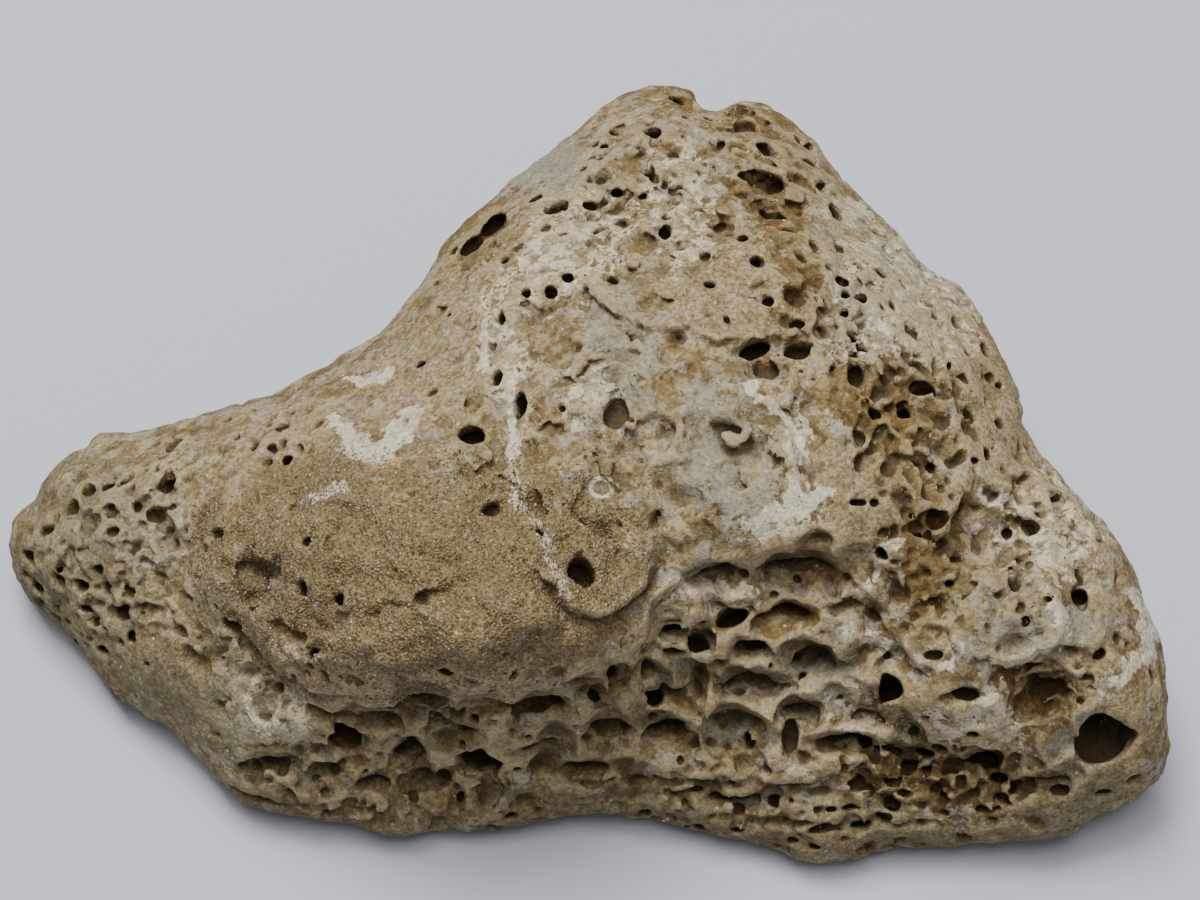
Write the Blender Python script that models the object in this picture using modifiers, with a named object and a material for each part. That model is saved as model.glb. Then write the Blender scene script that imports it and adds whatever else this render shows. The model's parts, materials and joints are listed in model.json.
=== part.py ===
"""Holey limestone: one sea-worn, bored stone lying on its flat underside.

The stone is shaped as it is seen from one place, the sighting point, which looks down on its show face.
`across` and `up` are millimetres on the sighting plane, a plane through the stone's middle that faces
the sighting point. The outline, the heights and the hollows are all placed on that plane.
"""

import math

import bmesh
import bpy
import numpy as np
from mathutils import Matrix, Vector, noise

MM = 0.001

# The sighting point. Elevation is above the ground, distance is from the stone's middle.
SIGHT_ELEVATION = math.radians(62)
SIGHT_DISTANCE = 320.0
MIDDLE = np.array([2.2, -4.2, 20.0])
RIGHT = np.array([1.0, 0.0, 0.0])
UP = np.array([0.0, math.sin(SIGHT_ELEVATION), math.cos(SIGHT_ELEVATION)])
TOWARD = np.array([0.0, -math.cos(SIGHT_ELEVATION), math.sin(SIGHT_ELEVATION)])
EYE = MIDDLE + SIGHT_DISTANCE * TOWARD

# The outline from the sighting point, clockwise from the nose: (across, up).
OUTLINE = [
    (-59.0, -9.5), (-58.6, -6.8), (-56.4, -5.2), (-55.6, -3.4), (-53.4, -1.2), (-51.9, -0.6), (-51.0, -0.4),
    (-50.0, 1.2), (-46.0, 1.4), (-42.5, 2.5), (-37.0, 4.3), (-33.0, 5.2), (-29.7, 7.2), (-26.0, 9.2),
    (-22.0, 11.5), (-19.6, 14.0), (-17.6, 16.8), (-15.8, 20.0), (-13.2, 23.0), (-10.2, 25.2), (-8.5, 27.2),
    (-5.4, 29.4), (-2.3, 32.0), (0.2, 34.6), (4.0, 36.0), (7.5, 36.2), (9.5, 35.7), (9.9, 34.4),
    (11.6, 33.7), (13.5, 34.7), (16.5, 34.7), (19.2, 32.8), (22.0, 30.0), (23.6, 27.4), (26.8, 24.6),
    (29.8, 21.6), (31.4, 18.9), (33.0, 17.5), (35.5, 16.6), (37.6, 14.0), (39.4, 10.4), (42.4, 4.6),
    (42.5, 3.1), (43.2, 1.6), (45.4, -1.5), (48.6, -5.4), (52.0, -9.4), (54.4, -14.2), (56.4, -19.6),
    (57.0, -24.0), (56.9, -27.4), (57.3, -29.8), (56.2, -32.6), (53.0, -35.0), (49.2, -36.7), (46.6, -38.6),
    (41.0, -39.2), (34.0, -39.7), (28.4, -39.9), (25.0, -41.3), (20.6, -41.5), (16.6, -39.8), (12.0, -38.7),
    (6.0, -37.2), (-1.0, -36.7), (-6.0, -37.2), (-11.0, -38.2), (-16.5, -38.1), (-20.0, -39.2),
    (-24.5, -38.0), (-30.5, -37.0), (-36.0, -35.3), (-38.8, -32.6), (-42.4, -28.6), (-47.2, -25.8),
    (-50.2, -22.8), (-53.4, -18.7), (-56.8, -15.4), (-58.5, -12.6),
]
OUTLINE_STEPS = 3

# The radius to which the face turns away at the outline: smaller at the foot of the flank than further up.
EDGE_ROUND_UP, EDGE_ROUND = [-36.0, -22.0], [3.0, 7.0]
# How far in from its edge the underside curves down to the ground, and the lowest that the edge comes.
UNDERCUT = 12.0
LOWEST_EDGE = 2.4
# How widely the side blends into the underside, and how far the edge is first set out to make up for it.
BLEND = 3.0
OUTSET = 1.1
# How far the body first goes below the ground, before it is cut off flat there.
BASE_SPARE = 0.5

# Heights of the face above the ground: (across, up, height).
FACE_HEIGHTS = [
    # the back lobes
    (5.0, 34.0, 27.0), (16.0, 33.0, 26.5), (-4.0, 27.0, 28.5), (8.0, 27.0, 32.0), (19.0, 27.0, 30.0),
    (26.0, 23.0, 27.0),
    # the upper slope
    (-15.0, 19.0, 27.0), (-6.0, 19.0, 32.5), (6.0, 18.0, 35.5), (18.0, 18.0, 35.0), (28.0, 18.0, 31.0),
    (34.0, 14.0, 27.5), (-25.0, 8.0, 26.0), (-15.0, 11.0, 31.0), (-4.0, 10.0, 36.5), (8.0, 9.0, 38.5),
    (20.0, 10.0, 38.0), (30.0, 10.0, 34.5), (38.0, 10.0, 28.5),
    # the crown
    (-49.0, 0.0, 17.0), (-40.0, 2.0, 21.5), (-30.0, 3.0, 27.0), (-20.0, 2.0, 33.0), (-8.0, 1.0, 37.5),
    (4.0, 1.0, 38.5), (16.0, 1.0, 38.5), (26.0, 1.0, 37.0), (36.0, 1.0, 32.5), (42.0, 0.0, 28.0),
    # the nose, the sandy mound, the middle basin and the right shoulder
    (-57.0, -9.0, 15.0), (-50.0, -7.0, 19.5), (-40.0, -7.0, 25.0), (-30.0, -7.0, 32.0), (-18.0, -7.0, 37.5),
    (-6.0, -7.0, 38.0), (6.0, -7.0, 36.8), (18.0, -7.0, 37.0), (28.0, -7.0, 35.2), (38.0, -7.0, 32.0),
    (48.0, -9.0, 27.0),
    (-54.0, -15.0, 13.0), (-45.0, -15.0, 19.5), (-35.0, -15.0, 27.0), (-25.0, -15.0, 34.5),
    (-15.0, -15.0, 38.0), (-5.0, -15.0, 36.5), (4.0, -15.0, 33.0), (14.0, -15.0, 29.5), (24.0, -15.0, 29.5),
    (34.0, -15.0, 30.0), (44.0, -15.0, 28.5), (52.0, -15.0, 24.5),
    (-47.0, -21.0, 13.0), (-40.0, -21.0, 18.5), (-32.0, -21.0, 25.0), (-22.0, -21.5, 33.0),
    (-12.0, -21.5, 34.5), (-2.0, -21.0, 31.0), (8.0, -21.0, 24.0), (18.0, -21.0, 23.5), (28.0, -21.0, 25.0),
    (38.0, -21.0, 27.0), (48.0, -21.0, 25.5), (55.0, -21.0, 21.0),
    # the front flank, and its lip above the ground
    (-41.0, -27.0, 11.5), (-34.0, -27.0, 16.5), (-26.0, -27.0, 19.5), (-16.0, -27.0, 19.0),
    (-6.0, -27.0, 18.5), (4.0, -27.0, 17.5), (14.0, -27.0, 17.0), (24.0, -27.0, 18.0), (34.0, -27.0, 20.0),
    (44.0, -27.0, 21.5), (53.0, -27.0, 19.0),
    (-35.0, -33.0, 9.0), (-26.0, -33.5, 10.0), (-16.0, -33.5, 10.0), (-6.0, -33.5, 9.5), (4.0, -32.5, 10.5),
    (14.0, -32.5, 10.5), (24.0, -33.0, 10.5), (34.0, -33.0, 11.5), (44.0, -33.0, 13.0), (52.0, -32.0, 13.5),
    (-20.0, -38.0, 6.5), (-10.0, -37.0, 6.0), (4.0, -36.0, 6.5), (20.0, -39.5, 6.0), (34.0, -38.0, 7.0),
    (45.0, -37.0, 9.0),
]

# Hollows of the face: (across, up, half width, half height, tilt in degrees, depth).
SCOOPS = [
    # the left slope below the nose
    (-34.8, -12.8, 2.4, 2.4, 0, 2.6), (-36.2, -18.9, 3.0, 1.4, -25, 3.0), (-31.0, -18.9, 3.2, 1.1, -30, 2.0),
    (-32.5, -24.4, 4.6, 3.6, 20, 2.0),
    # the upper face
    (-12.5, 21.0, 3.9, 1.9, 40, 3.4), (30.5, 5.0, 3.9, 3.0, 0, 1.8), (32.8, -7.2, 1.5, 1.7, 0, 3.0),
    (12.0, 0.5, 5.2, 4.6, 0, 1.0), (7.5, -6.5, 4.4, 3.4, 15, 1.0), (-6.3, -5.6, 1.0, 1.9, 15, 1.6),
    (-22.0, 1.6, 3.4, 1.6, 10, 1.2), (4.3, 21.0, 1.8, 1.6, 0, 1.2), (-5.5, 15.0, 2.6, 2.0, 30, 1.0),
    # the right shoulder
    (38.5, -9.0, 4.6, 3.6, -20, 2.2), (41.0, -17.8, 3.6, 2.0, -20, 1.6), (48.0, -14.8, 1.5, 1.3, 0, 1.6),
]

# Alcoves of the front flank, which run in level: (across, up, half width, half height, depth).
ALCOVES = [
    # under the rim of the sandy mound
    (-22.5, -27.0, 2.6, 1.2, 2.6), (-17.5, -25.7, 2.9, 2.3, 4.2), (-11.8, -25.6, 3.0, 1.3, 3.0),
    (-6.0, -26.2, 3.3, 2.2, 4.2), (-2.0, -23.6, 2.0, 1.2, 2.6), (1.5, -22.4, 1.6, 1.3, 2.6),
    # the upper row
    (11.5, -12.6, 3.6, 1.5, 2.4), (19.3, -13.0, 4.6, 2.8, 4.6), (18.8, -16.8, 3.2, 2.3, 4.2),
    (24.0, -15.7, 2.4, 1.3, 2.4), (7.2, -17.8, 1.6, 1.1, 3.0),
    # the second row
    (15.2, -20.4, 2.3, 1.8, 3.2), (21.2, -21.7, 3.9, 2.6, 3.6), (15.5, -24.3, 4.6, 2.4, 3.8),
    (6.7, -25.3, 3.0, 2.4, 3.2), (29.3, -24.4, 1.4, 1.7, 4.2), (36.5, -25.0, 2.6, 1.2, 1.8),
    (44.5, -25.6, 3.3, 2.8, 3.2),
    # the third row
    (-19.0, -31.0, 2.2, 2.8, 4.2), (-14.5, -28.4, 3.1, 1.5, 3.2), (-6.4, -30.4, 3.1, 1.2, 2.2),
    (1.3, -28.7, 3.3, 2.7, 4.2), (6.5, -28.9, 3.6, 2.8, 4.2), (13.5, -28.5, 3.7, 3.2, 4.0),
    (20.0, -26.6, 2.9, 2.0, 3.8), (24.5, -29.8, 3.4, 1.8, 3.6), (27.0, -27.2, 3.6, 1.3, 2.0),
    # the lowest row
    (-33.2, -31.5, 3.4, 1.3, 2.6), (-28.0, -32.6, 2.4, 1.2, 1.6), (-22.4, -33.8, 2.6, 1.4, 2.6),
    (-17.0, -33.9, 2.6, 2.0, 2.6), (-1.0, -32.0, 3.7, 1.6, 3.4), (31.0, -31.0, 3.0, 1.3, 2.6),
    (38.0, -31.6, 3.2, 1.4, 2.8), (45.0, -33.5, 2.8, 1.2, 1.8),
]

# Round holes that worms and sponges bored, in the same columns.
BORINGS = [
    (-25.3, -29.2, 1.6, 1.6, 0, 5.5), (-11.8, -30.5, 1.8, 2.1, 0, 5.0), (9.7, -19.3, 1.15, 0.8, -10, 4.2),
    (7.5, -20.5, 0.9, 0.8, 0, 3.6), (13.1, -17.0, 1.5, 0.8, 20, 4.2), (5.6, -25.2, 0.95, 0.95, 0, 3.6),
    (18.7, -29.5, 1.25, 2.1, 0, 4.6), (29.3, -24.2, 1.0, 1.3, 0, 3.2), (51.2, -29.4, 3.0, 3.6, -20, 7.0),
    (-11.0, 22.2, 1.9, 0.9, 40, 4.2), (16.3, 26.7, 2.7, 1.3, -8, 3.4), (17.5, 23.8, 1.8, 0.8, 0, 3.2),
    (23.5, 23.8, 0.9, 1.1, 0, 3.2), (14.5, 32.3, 1.4, 1.4, 0, 2.4), (17.0, 30.3, 1.7, 0.8, -5, 3.2),
    (15.5, 9.5, 1.9, 0.9, 20, 3.6), (20.0, 10.3, 1.2, 1.2, 0, 4.2), (17.0, 8.2, 1.3, 1.3, 0, 3.2),
    (19.5, 15.8, 1.3, 1.1, 0, 2.2), (32.1, 6.2, 1.5, 0.8, -15, 3.6), (30.6, 3.9, 0.9, 1.0, 0, 3.6),
    (27.7, 3.7, 0.9, 0.8, 0, 3.6), (25.6, 7.7, 0.8, 1.1, 0, 3.6), (-12.9, 1.8, 1.2, 1.0, -20, 4.2),
    (-8.1, 4.5, 0.75, 1.0, 0, 4.0), (1.4, 4.0, 1.15, 1.15, 0, 2.4), (-1.6, -12.6, 1.4, 1.4, 0, 4.2),
    (5.1, 31.8, 1.05, 0.8, 25, 4.0), (42.4, -7.5, 1.05, 1.0, 0, 4.2), (41.5, -13.0, 0.75, 1.05, 0, 3.6),
    (-43.3, -3.1, 1.0, 1.0, 0, 3.0), (-43.1, 0.7, 1.1, 0.8, 35, 2.0), (-49.3, -3.7, 0.85, 0.9, 0, 3.0),
    (-52.4, -6.0, 1.1, 0.9, 0, 2.2), (-55.4, -7.9, 1.2, 0.8, 20, 2.2), (-56.7, -10.6, 1.6, 0.9, 40, 2.4),
    (-54.2, -13.0, 1.1, 1.0, 0, 3.0), (-51.5, -13.6, 1.1, 0.8, -10, 2.6), (-44.5, -6.5, 0.9, 0.8, 0, 2.4),
]

# Grooves that undercut the ledges: the line each follows, (across, up), and its half width and depth.
GROOVES = [
    ([(-28.0, -26.3), (-24.0, -27.2), (-20.0, -26.0), (-14.0, -26.8), (-7.0, -25.2), (0.0, -24.2),
      (5.5, -21.5)], 1.2, 3.0),
    ([(5.5, -18.5), (7.5, -15.2), (11.5, -13.6), (17.5, -12.0), (23.0, -14.4), (26.5, -16.6), (31.0, -21.0)],
     1.1, 2.6),
    ([(-1.0, -33.3), (6.0, -33.0), (13.0, -33.6), (20.0, -33.8), (27.0, -33.0), (34.0, -33.6)], 1.0, 2.4),
    ([(-38.0, -33.4), (-33.0, -35.2), (-27.0, -36.2), (-20.0, -36.6)], 0.8, 2.0),
    ([(41.0, -28.0), (42.5, -25.2), (45.5, -23.4), (49.0, -22.8)], 0.9, 1.6),
    ([(13.5, 10.8), (15.5, 10.0), (18.0, 9.4)], 0.6, 1.6),
    ([(48.5, -2.5), (46.0, -5.2), (44.0, -8.0), (42.6, -12.5)], 0.8, 1.4),
]
GROOVE_STEP = 1.7
# How much an alcove's mouth looks upward, and how far it is opened beyond its listed size.
ALCOVE_RISE = 0.25
ALCOVE_OPENING = 1.15
ALCOVE_DEEPENING = 1.3
GROOVE_SEED = 3

# Hollows of the back and the underside, which are scattered: how many, and the range of their half widths.
HIDDEN_HOLLOWS = 100
HIDDEN_SIZES = (0.9, 3.2)
# How far below the face a point must be to count as hidden from the sighting point.
HIDDEN_BELOW = 4.0
HIDDEN_SEED = 7

# The sphere that the body is drawn out of: its middle, its proportions and its fineness.
BODY_CENTRE = np.array([0.0, -1.0, 15.0])
BODY_PROPORTIONS = np.array([1.5, 1.0, 0.55])
BODY_SUBDIVISIONS = 6
CUTTER_SUBDIVISIONS = 2
# Unevenness of the body: (spacing, height).
LUMPS = [(14.0, 1.0), (6.0, 0.75), (3.2, 0.4)]
# Share by which a cutter's wall is uneven.
CUTTER_UNEVEN = 0.22

VOXEL = 0.6
TRIANGLES = 9400


def closed_curve(points, steps):
    """A smooth closed curve through the points, with this many steps between neighbours."""
    p = np.array(points, float)
    before, after, beyond = np.roll(p, 1, 0), np.roll(p, -1, 0), np.roll(p, -2, 0)
    made = []
    for k in range(steps):
        t = k / steps
        made.append(
            0.5 * (2 * p + (after - before) * t + (2 * before - 5 * p + 4 * after - beyond) * t**2
                   + (3 * p - before - 3 * after + beyond) * t**3)
        )
    return np.stack(made, 1).reshape(-1, 2)


def depth_inside(points, loop):
    """Distance of each point to the closed loop, positive inside it, and the number of the nearest side."""
    start, end = loop, np.roll(loop, -1, 0)
    side = end - start
    from_start = points[:, None] - start
    share = np.clip((from_start * side).sum(-1) / (side**2).sum(-1), 0, 1)
    gap = np.sqrt(((from_start - share[..., None] * side) ** 2).sum(-1))
    x, y = points[:, 0, None], points[:, 1, None]
    spans = (start[:, 1] > y) != (end[:, 1] > y)
    rise = np.where(side[:, 1] == 0, 1e-12, side[:, 1])
    crossed = spans & (x < start[:, 0] + (y - start[:, 1]) * side[:, 0] / rise)
    inside = crossed.sum(1) % 2 == 1
    return np.where(inside, 1, -1) * gap.min(1), gap.argmin(1)


class SmoothSheet:
    """The smooth sheet of least bending through given heights (a thin-plate spline)."""

    def __init__(self, rows):
        rows = np.array(rows, float)
        self.places = rows[:, :2]
        count = len(rows)
        flat = np.c_[np.ones(count), self.places]
        system = np.zeros((count + 3, count + 3))
        system[:count, :count] = self.bend(self.places)
        system[:count, count:] = flat
        system[count:, :count] = flat.T
        self.weights = np.linalg.solve(system, np.r_[rows[:, 2], 0, 0, 0])

    def bend(self, points):
        square = ((points[:, None] - self.places) ** 2).sum(-1)
        return square * np.log(square + 1e-9)

    def at(self, points):
        return self.bend(points) @ self.weights[:-3] + np.c_[np.ones(len(points)), points] @ self.weights[-3:]


def sighted(points):
    """Where points of space are seen on the sighting plane."""
    from_middle = points - MIDDLE
    scale = SIGHT_DISTANCE / (SIGHT_DISTANCE - from_middle @ TOWARD)
    return np.c_[from_middle @ RIGHT, from_middle @ UP] * scale[:, None]


def at_height(places, heights):
    """The points of space seen at these places of the sighting plane that lie this high above the ground."""
    on_plane = MIDDLE + places[:, :1] * RIGHT + places[:, 1:2] * UP
    ray = on_plane - EYE
    return EYE + ray * ((heights - EYE[2]) / ray[:, 2])[:, None]


def edge_round(places):
    """The radius to which the face turns away at the outline near these places."""
    return np.interp(places[:, 1], EDGE_ROUND_UP, EDGE_ROUND)


def edge_drop(depth, radius):
    """How far the face has dropped at this depth inside the outline."""
    reach = np.clip(1 - depth / radius, 0, 1)
    return radius * (1 - np.sqrt(1 - reach**2))


def round_max(a, b, radius):
    """The larger of two distances, with the edge between them rounded to this radius."""
    beyond = np.hypot(np.maximum(a + radius, 0), np.maximum(b + radius, 0)) - radius
    return beyond + np.minimum(np.maximum(a, b) + radius, 0)


def smooth_max(a, b, width):
    """The larger of two, rounded off where they are within this width of each other."""
    share = np.clip(0.5 + 0.5 * (a - b) / width, 0, 1)
    return a * share + b * (1 - share) + width * share * (1 - share)


def lumps(points):
    """Rounded unevenness, in millimetres, at points of space."""
    made = np.zeros(len(points))
    for spacing, height in LUMPS:
        made += [height * noise.noise(Vector(p) / spacing) for p in points]
    return made


class Body:
    """The stone before it was bored: a face seen from the sighting point, above an undercut underside."""

    def __init__(self):
        self.outline = closed_curve(OUTLINE, OUTLINE_STEPS)
        self.sheet = SmoothSheet(FACE_HEIGHTS)
        heights = np.maximum(self.sheet.at(self.outline) - edge_round(self.outline), LOWEST_EDGE)
        self.edge_heights = np.mean([np.roll(heights, k) for k in range(-5, 6)], axis=0)
        self.plan = at_height(self.outline, self.edge_heights)[:, :2]

    def face_height(self, places):
        depth = depth_inside(places, self.outline)[0]
        return self.sheet.at(places) - edge_drop(depth, edge_round(places))

    def face(self, points):
        """Roughly the distance outside the face, which turns away at the outline."""
        places = sighted(points)
        beyond = -OUTSET - depth_inside(places, self.outline)[0]
        return round_max(points[:, 2] - self.sheet.at(places), beyond, edge_round(places))

    def underside(self, points):
        """Roughly the distance outside the underside, which curves in from the edge to the ground."""
        depth, nearest = depth_inside(points[:, :2], self.plan)
        edge = self.edge_heights[nearest]
        across = np.maximum((UNDERCUT - OUTSET - depth) / UNDERCUT, 0)
        down = np.maximum((edge - points[:, 2]) / (edge + BASE_SPARE), 0)
        near = np.hypot(across, down)
        size = near / (np.hypot(across / UNDERCUT, down / (edge + BASE_SPARE)) + 1e-9)
        return np.where(near > 0.01, (near - 1) * size, -UNDERCUT)

    def outside(self, points):
        """Positive outside the body, negative inside it."""
        side = smooth_max(self.face(points), self.underside(points), BLEND)
        return np.maximum(side, -BASE_SPARE - points[:, 2])

    def surface(self, centre, directions, reach=90.0, halvings=18):
        """Where rays from the centre leave the body."""
        near = np.zeros(len(directions))
        far = np.full(len(directions), reach)
        for _ in range(halvings):
            half = (near + far) / 2
            out = self.outside(centre + directions * half[:, None]) > 0
            far = np.where(out, half, far)
            near = np.where(out, near, half)
        return centre + directions * near[:, None]

    def face_frame(self, across, up, step=0.6):
        """The point of the face seen there, and its outward normal."""
        steps = np.array([(0, 0), (step, 0), (-step, 0), (0, step), (0, -step)])
        around = np.array([across, up]) + steps
        points = at_height(around, self.face_height(around))
        normal = np.cross(points[1] - points[2], points[3] - points[4])
        return points[0], normal / np.linalg.norm(normal)


def clear_scene():
    for obj in list(bpy.data.objects):
        bpy.data.objects.remove(obj)


def collection(name, hidden=False):
    made = bpy.data.collections.new(name)
    bpy.context.scene.collection.children.link(made)
    made.hide_render = hidden
    return made


def limestone_material():
    made = bpy.data.materials.new("limestone")
    made.use_nodes = True
    shader = made.node_tree.nodes["Principled BSDF"]
    shader.inputs["Base Color"].default_value = (0.36, 0.29, 0.19, 1.0)
    shader.inputs["Roughness"].default_value = 0.9
    shader.inputs["Metallic"].default_value = 0.0
    return made


def icosphere(name, subdivisions, home):
    mesh = bpy.data.meshes.new(name)
    shape = bmesh.new()
    bmesh.ops.create_icosphere(shape, subdivisions=subdivisions, radius=1.0)
    shape.to_mesh(mesh)
    shape.free()
    made = bpy.data.objects.new(name, mesh)
    home.objects.link(made)
    return made


def make_body(body, home):
    """A sphere stretched to the stone's proportions, whose points then move out to the body's surface."""
    stone = icosphere("limestone", BODY_SUBDIVISIONS, home)
    count = len(stone.data.vertices)
    directions = np.empty(count * 3)
    stone.data.vertices.foreach_get("co", directions)
    directions = directions.reshape(-1, 3) * BODY_PROPORTIONS
    directions /= np.linalg.norm(directions, axis=1)[:, None]
    points = body.surface(BODY_CENTRE, directions)
    lift = np.clip(points[:, 2] / 4.0, 0, 1)
    inward = np.clip((np.abs(depth_inside(sighted(points), body.outline)[0]) - 1) / 8, 0, 1)
    points += directions * (lumps(points) * lift * (0.2 + 0.8 * inward))[:, None]
    points[:, 2] = np.maximum(points[:, 2], -BASE_SPARE)
    stone.data.vertices.foreach_set("co", (points * MM).ravel())
    stone.data.update()
    return stone


def tilted_frame(normal, tilt):
    """Axes with Z along the normal and X along the sighting plane's right, turned by the tilt."""
    z = Vector(normal).normalized()
    x = Vector(RIGHT)
    x = (x - z * x.dot(z)).normalized()
    frame = Matrix((x, z.cross(x), z)).transposed()
    return frame @ Matrix.Rotation(math.radians(tilt), 3, "Z")


def add_cutter(name, point, frame, radii, home):
    """An uneven ellipsoid with its middle on the surface."""
    cutter = icosphere(name, CUTTER_SUBDIVISIONS, home)
    for vertex in cutter.data.vertices:
        vertex.co *= 1 + CUTTER_UNEVEN * noise.noise(vertex.co * 1.4 + Vector(point))
    size = Matrix.Diagonal((*(r * MM for r in radii), 1.0))
    cutter.matrix_world = Matrix.Translation(Vector(point) * MM) @ frame.to_4x4() @ size
    cutter.hide_render = True
    cutter.display_type = "WIRE"


def add_face_cutters(body, home):
    for kind, rows in (("scoop", SCOOPS), ("boring", BORINGS)):
        for number, (across, up, half_width, half_height, tilt, depth) in enumerate(rows):
            point, normal = body.face_frame(across, up)
            if kind == "boring":
                normal = normal + TOWARD
            frame = tilted_frame(normal, tilt)
            add_cutter(f"{kind}_{number:02d}", point, frame, (half_width, half_height, depth), home)


def add_alcove_cutters(body, home):
    for number, (across, up, half_width, half_height, depth) in enumerate(ALCOVES):
        point, normal = body.face_frame(across, up)
        level = normal * (1, 1, 0) + (0, 0, ALCOVE_RISE)
        radii = (half_width * ALCOVE_OPENING, half_height * ALCOVE_OPENING, depth * ALCOVE_DEEPENING)
        add_cutter(f"alcove_{number:02d}", point, tilted_frame(level, 0), radii, home)


def along(points, step):
    """Places at even steps along a line."""
    points = np.array(points)
    lengths = np.r_[0, np.cumsum(np.linalg.norm(np.diff(points, axis=0), axis=1))]
    at = np.arange(0, lengths[-1], step)
    return np.c_[np.interp(at, lengths, points[:, 0]), np.interp(at, lengths, points[:, 1])]


def add_groove_cutters(body, home):
    """Each groove is a row of hollows that run into each other."""
    random = np.random.default_rng(GROOVE_SEED)
    for groove, (line, half_width, depth) in enumerate(GROOVES):
        for number, (across, up) in enumerate(along(line, GROOVE_STEP)):
            point, normal = body.face_frame(across, up)
            size = random.uniform(0.75, 1.25)
            radii = (GROOVE_STEP * 0.85 * size, half_width * size, depth * size)
            frame = tilted_frame(normal, random.uniform(-20, 20))
            add_cutter(f"groove_{groove}_{number:02d}", point, frame, radii, home)


def add_hidden_cutters(body, home):
    """Scattered hollows where the sighting point doesn't see."""
    random = np.random.default_rng(HIDDEN_SEED)
    made = 0
    while made < HIDDEN_HOLLOWS:
        direction = random.normal(size=3) * (1.5, 1.0, 0.35)
        direction /= np.linalg.norm(direction)
        size = random.uniform(*HIDDEN_SIZES)
        spread = random.uniform(0.55, 1.0)
        tilt = random.uniform(0, 180)
        point = body.surface(BODY_CENTRE, direction[None])
        seen = point[0, 2] > body.face_height(sighted(point))[0] - HIDDEN_BELOW
        if seen or direction[2] < -0.8:
            continue
        frame = tilted_frame(direction, tilt)
        add_cutter(f"hidden_{made:02d}", point[0], frame, (size, size * spread, size * 0.8), home)
        made += 1


def triangle_count(obj):
    evaluated = obj.evaluated_get(bpy.context.evaluated_depsgraph_get())
    mesh = evaluated.to_mesh()
    count = sum(len(polygon.vertices) - 2 for polygon in mesh.polygons)
    evaluated.to_mesh_clear()
    return count


def bore_and_weather(stone, cutter_home):
    """Takes the hollows out, rounds their rims a little, and thins the mesh to the wanted size."""
    bore = stone.modifiers.new("bore", "BOOLEAN")
    bore.operation = "DIFFERENCE"
    bore.operand_type = "COLLECTION"
    bore.collection = cutter_home
    bore.solver = "EXACT"
    weather = stone.modifiers.new("weather", "REMESH")
    weather.mode = "VOXEL"
    weather.voxel_size = VOXEL * MM
    share = TRIANGLES / triangle_count(stone)
    thin = stone.modifiers.new("thin", "DECIMATE")
    thin.ratio = share
    thin.use_collapse_triangulate = True


def cut_flat(stone, home):
    """Cuts off what is below the ground, so that the stone has a flat face to rest on."""
    ground = bpy.data.objects.new("below_ground", bpy.data.meshes.new("below_ground"))
    home.objects.link(ground)
    shape = bmesh.new()
    bmesh.ops.create_cube(shape, size=0.2)
    shape.to_mesh(ground.data)
    shape.free()
    ground.location.z = -0.1
    ground.hide_render = True
    ground.display_type = "WIRE"
    flat = stone.modifiers.new("flat base", "BOOLEAN")
    flat.operation = "DIFFERENCE"
    flat.object = ground
    flat.solver = "EXACT"


def main():
    clear_scene()
    stone_home = collection("holey_limestone")
    cutter_home = collection("cutters", hidden=True)
    body = Body()
    stone = make_body(body, stone_home)
    stone.data.materials.append(limestone_material())
    add_face_cutters(body, cutter_home)
    add_alcove_cutters(body, cutter_home)
    add_groove_cutters(body, cutter_home)
    add_hidden_cutters(body, cutter_home)
    bore_and_weather(stone, cutter_home)
    cut_flat(stone, collection("ground_cutter", hidden=True))


main()
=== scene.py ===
"""Holey limestone, dressed: one sea-worn, bored stone in the CAD frame, as a carved block of space.

The stone is a body seen from one sighting point. Its borings, alcoves, ledges and pores are carved out of it.
`across` and `up` are millimetres on the sighting plane, a plane through the stone's middle that faces the
sighting point. Lengths are in millimetres until the mesh is made.
"""

import json
import math

import bpy
import numpy as np
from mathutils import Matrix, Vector

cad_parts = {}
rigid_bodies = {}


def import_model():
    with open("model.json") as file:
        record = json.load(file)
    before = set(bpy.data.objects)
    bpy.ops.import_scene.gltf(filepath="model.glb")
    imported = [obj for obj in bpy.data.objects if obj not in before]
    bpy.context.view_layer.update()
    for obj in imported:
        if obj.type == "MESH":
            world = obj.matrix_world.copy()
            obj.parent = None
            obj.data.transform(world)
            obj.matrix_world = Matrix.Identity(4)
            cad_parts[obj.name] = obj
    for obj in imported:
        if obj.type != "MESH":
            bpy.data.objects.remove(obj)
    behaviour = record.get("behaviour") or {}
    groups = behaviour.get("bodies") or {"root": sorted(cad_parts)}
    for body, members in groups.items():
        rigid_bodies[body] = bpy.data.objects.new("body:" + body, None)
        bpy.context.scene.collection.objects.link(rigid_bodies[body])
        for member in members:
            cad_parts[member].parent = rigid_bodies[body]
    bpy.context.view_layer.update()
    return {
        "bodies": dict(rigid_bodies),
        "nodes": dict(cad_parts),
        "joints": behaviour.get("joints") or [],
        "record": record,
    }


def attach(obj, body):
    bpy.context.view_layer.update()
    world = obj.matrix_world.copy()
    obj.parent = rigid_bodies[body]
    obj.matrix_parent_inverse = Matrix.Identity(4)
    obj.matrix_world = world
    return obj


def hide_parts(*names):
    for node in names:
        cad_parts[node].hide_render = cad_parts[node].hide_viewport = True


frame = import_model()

MM = 0.001
SEED = 41

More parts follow.
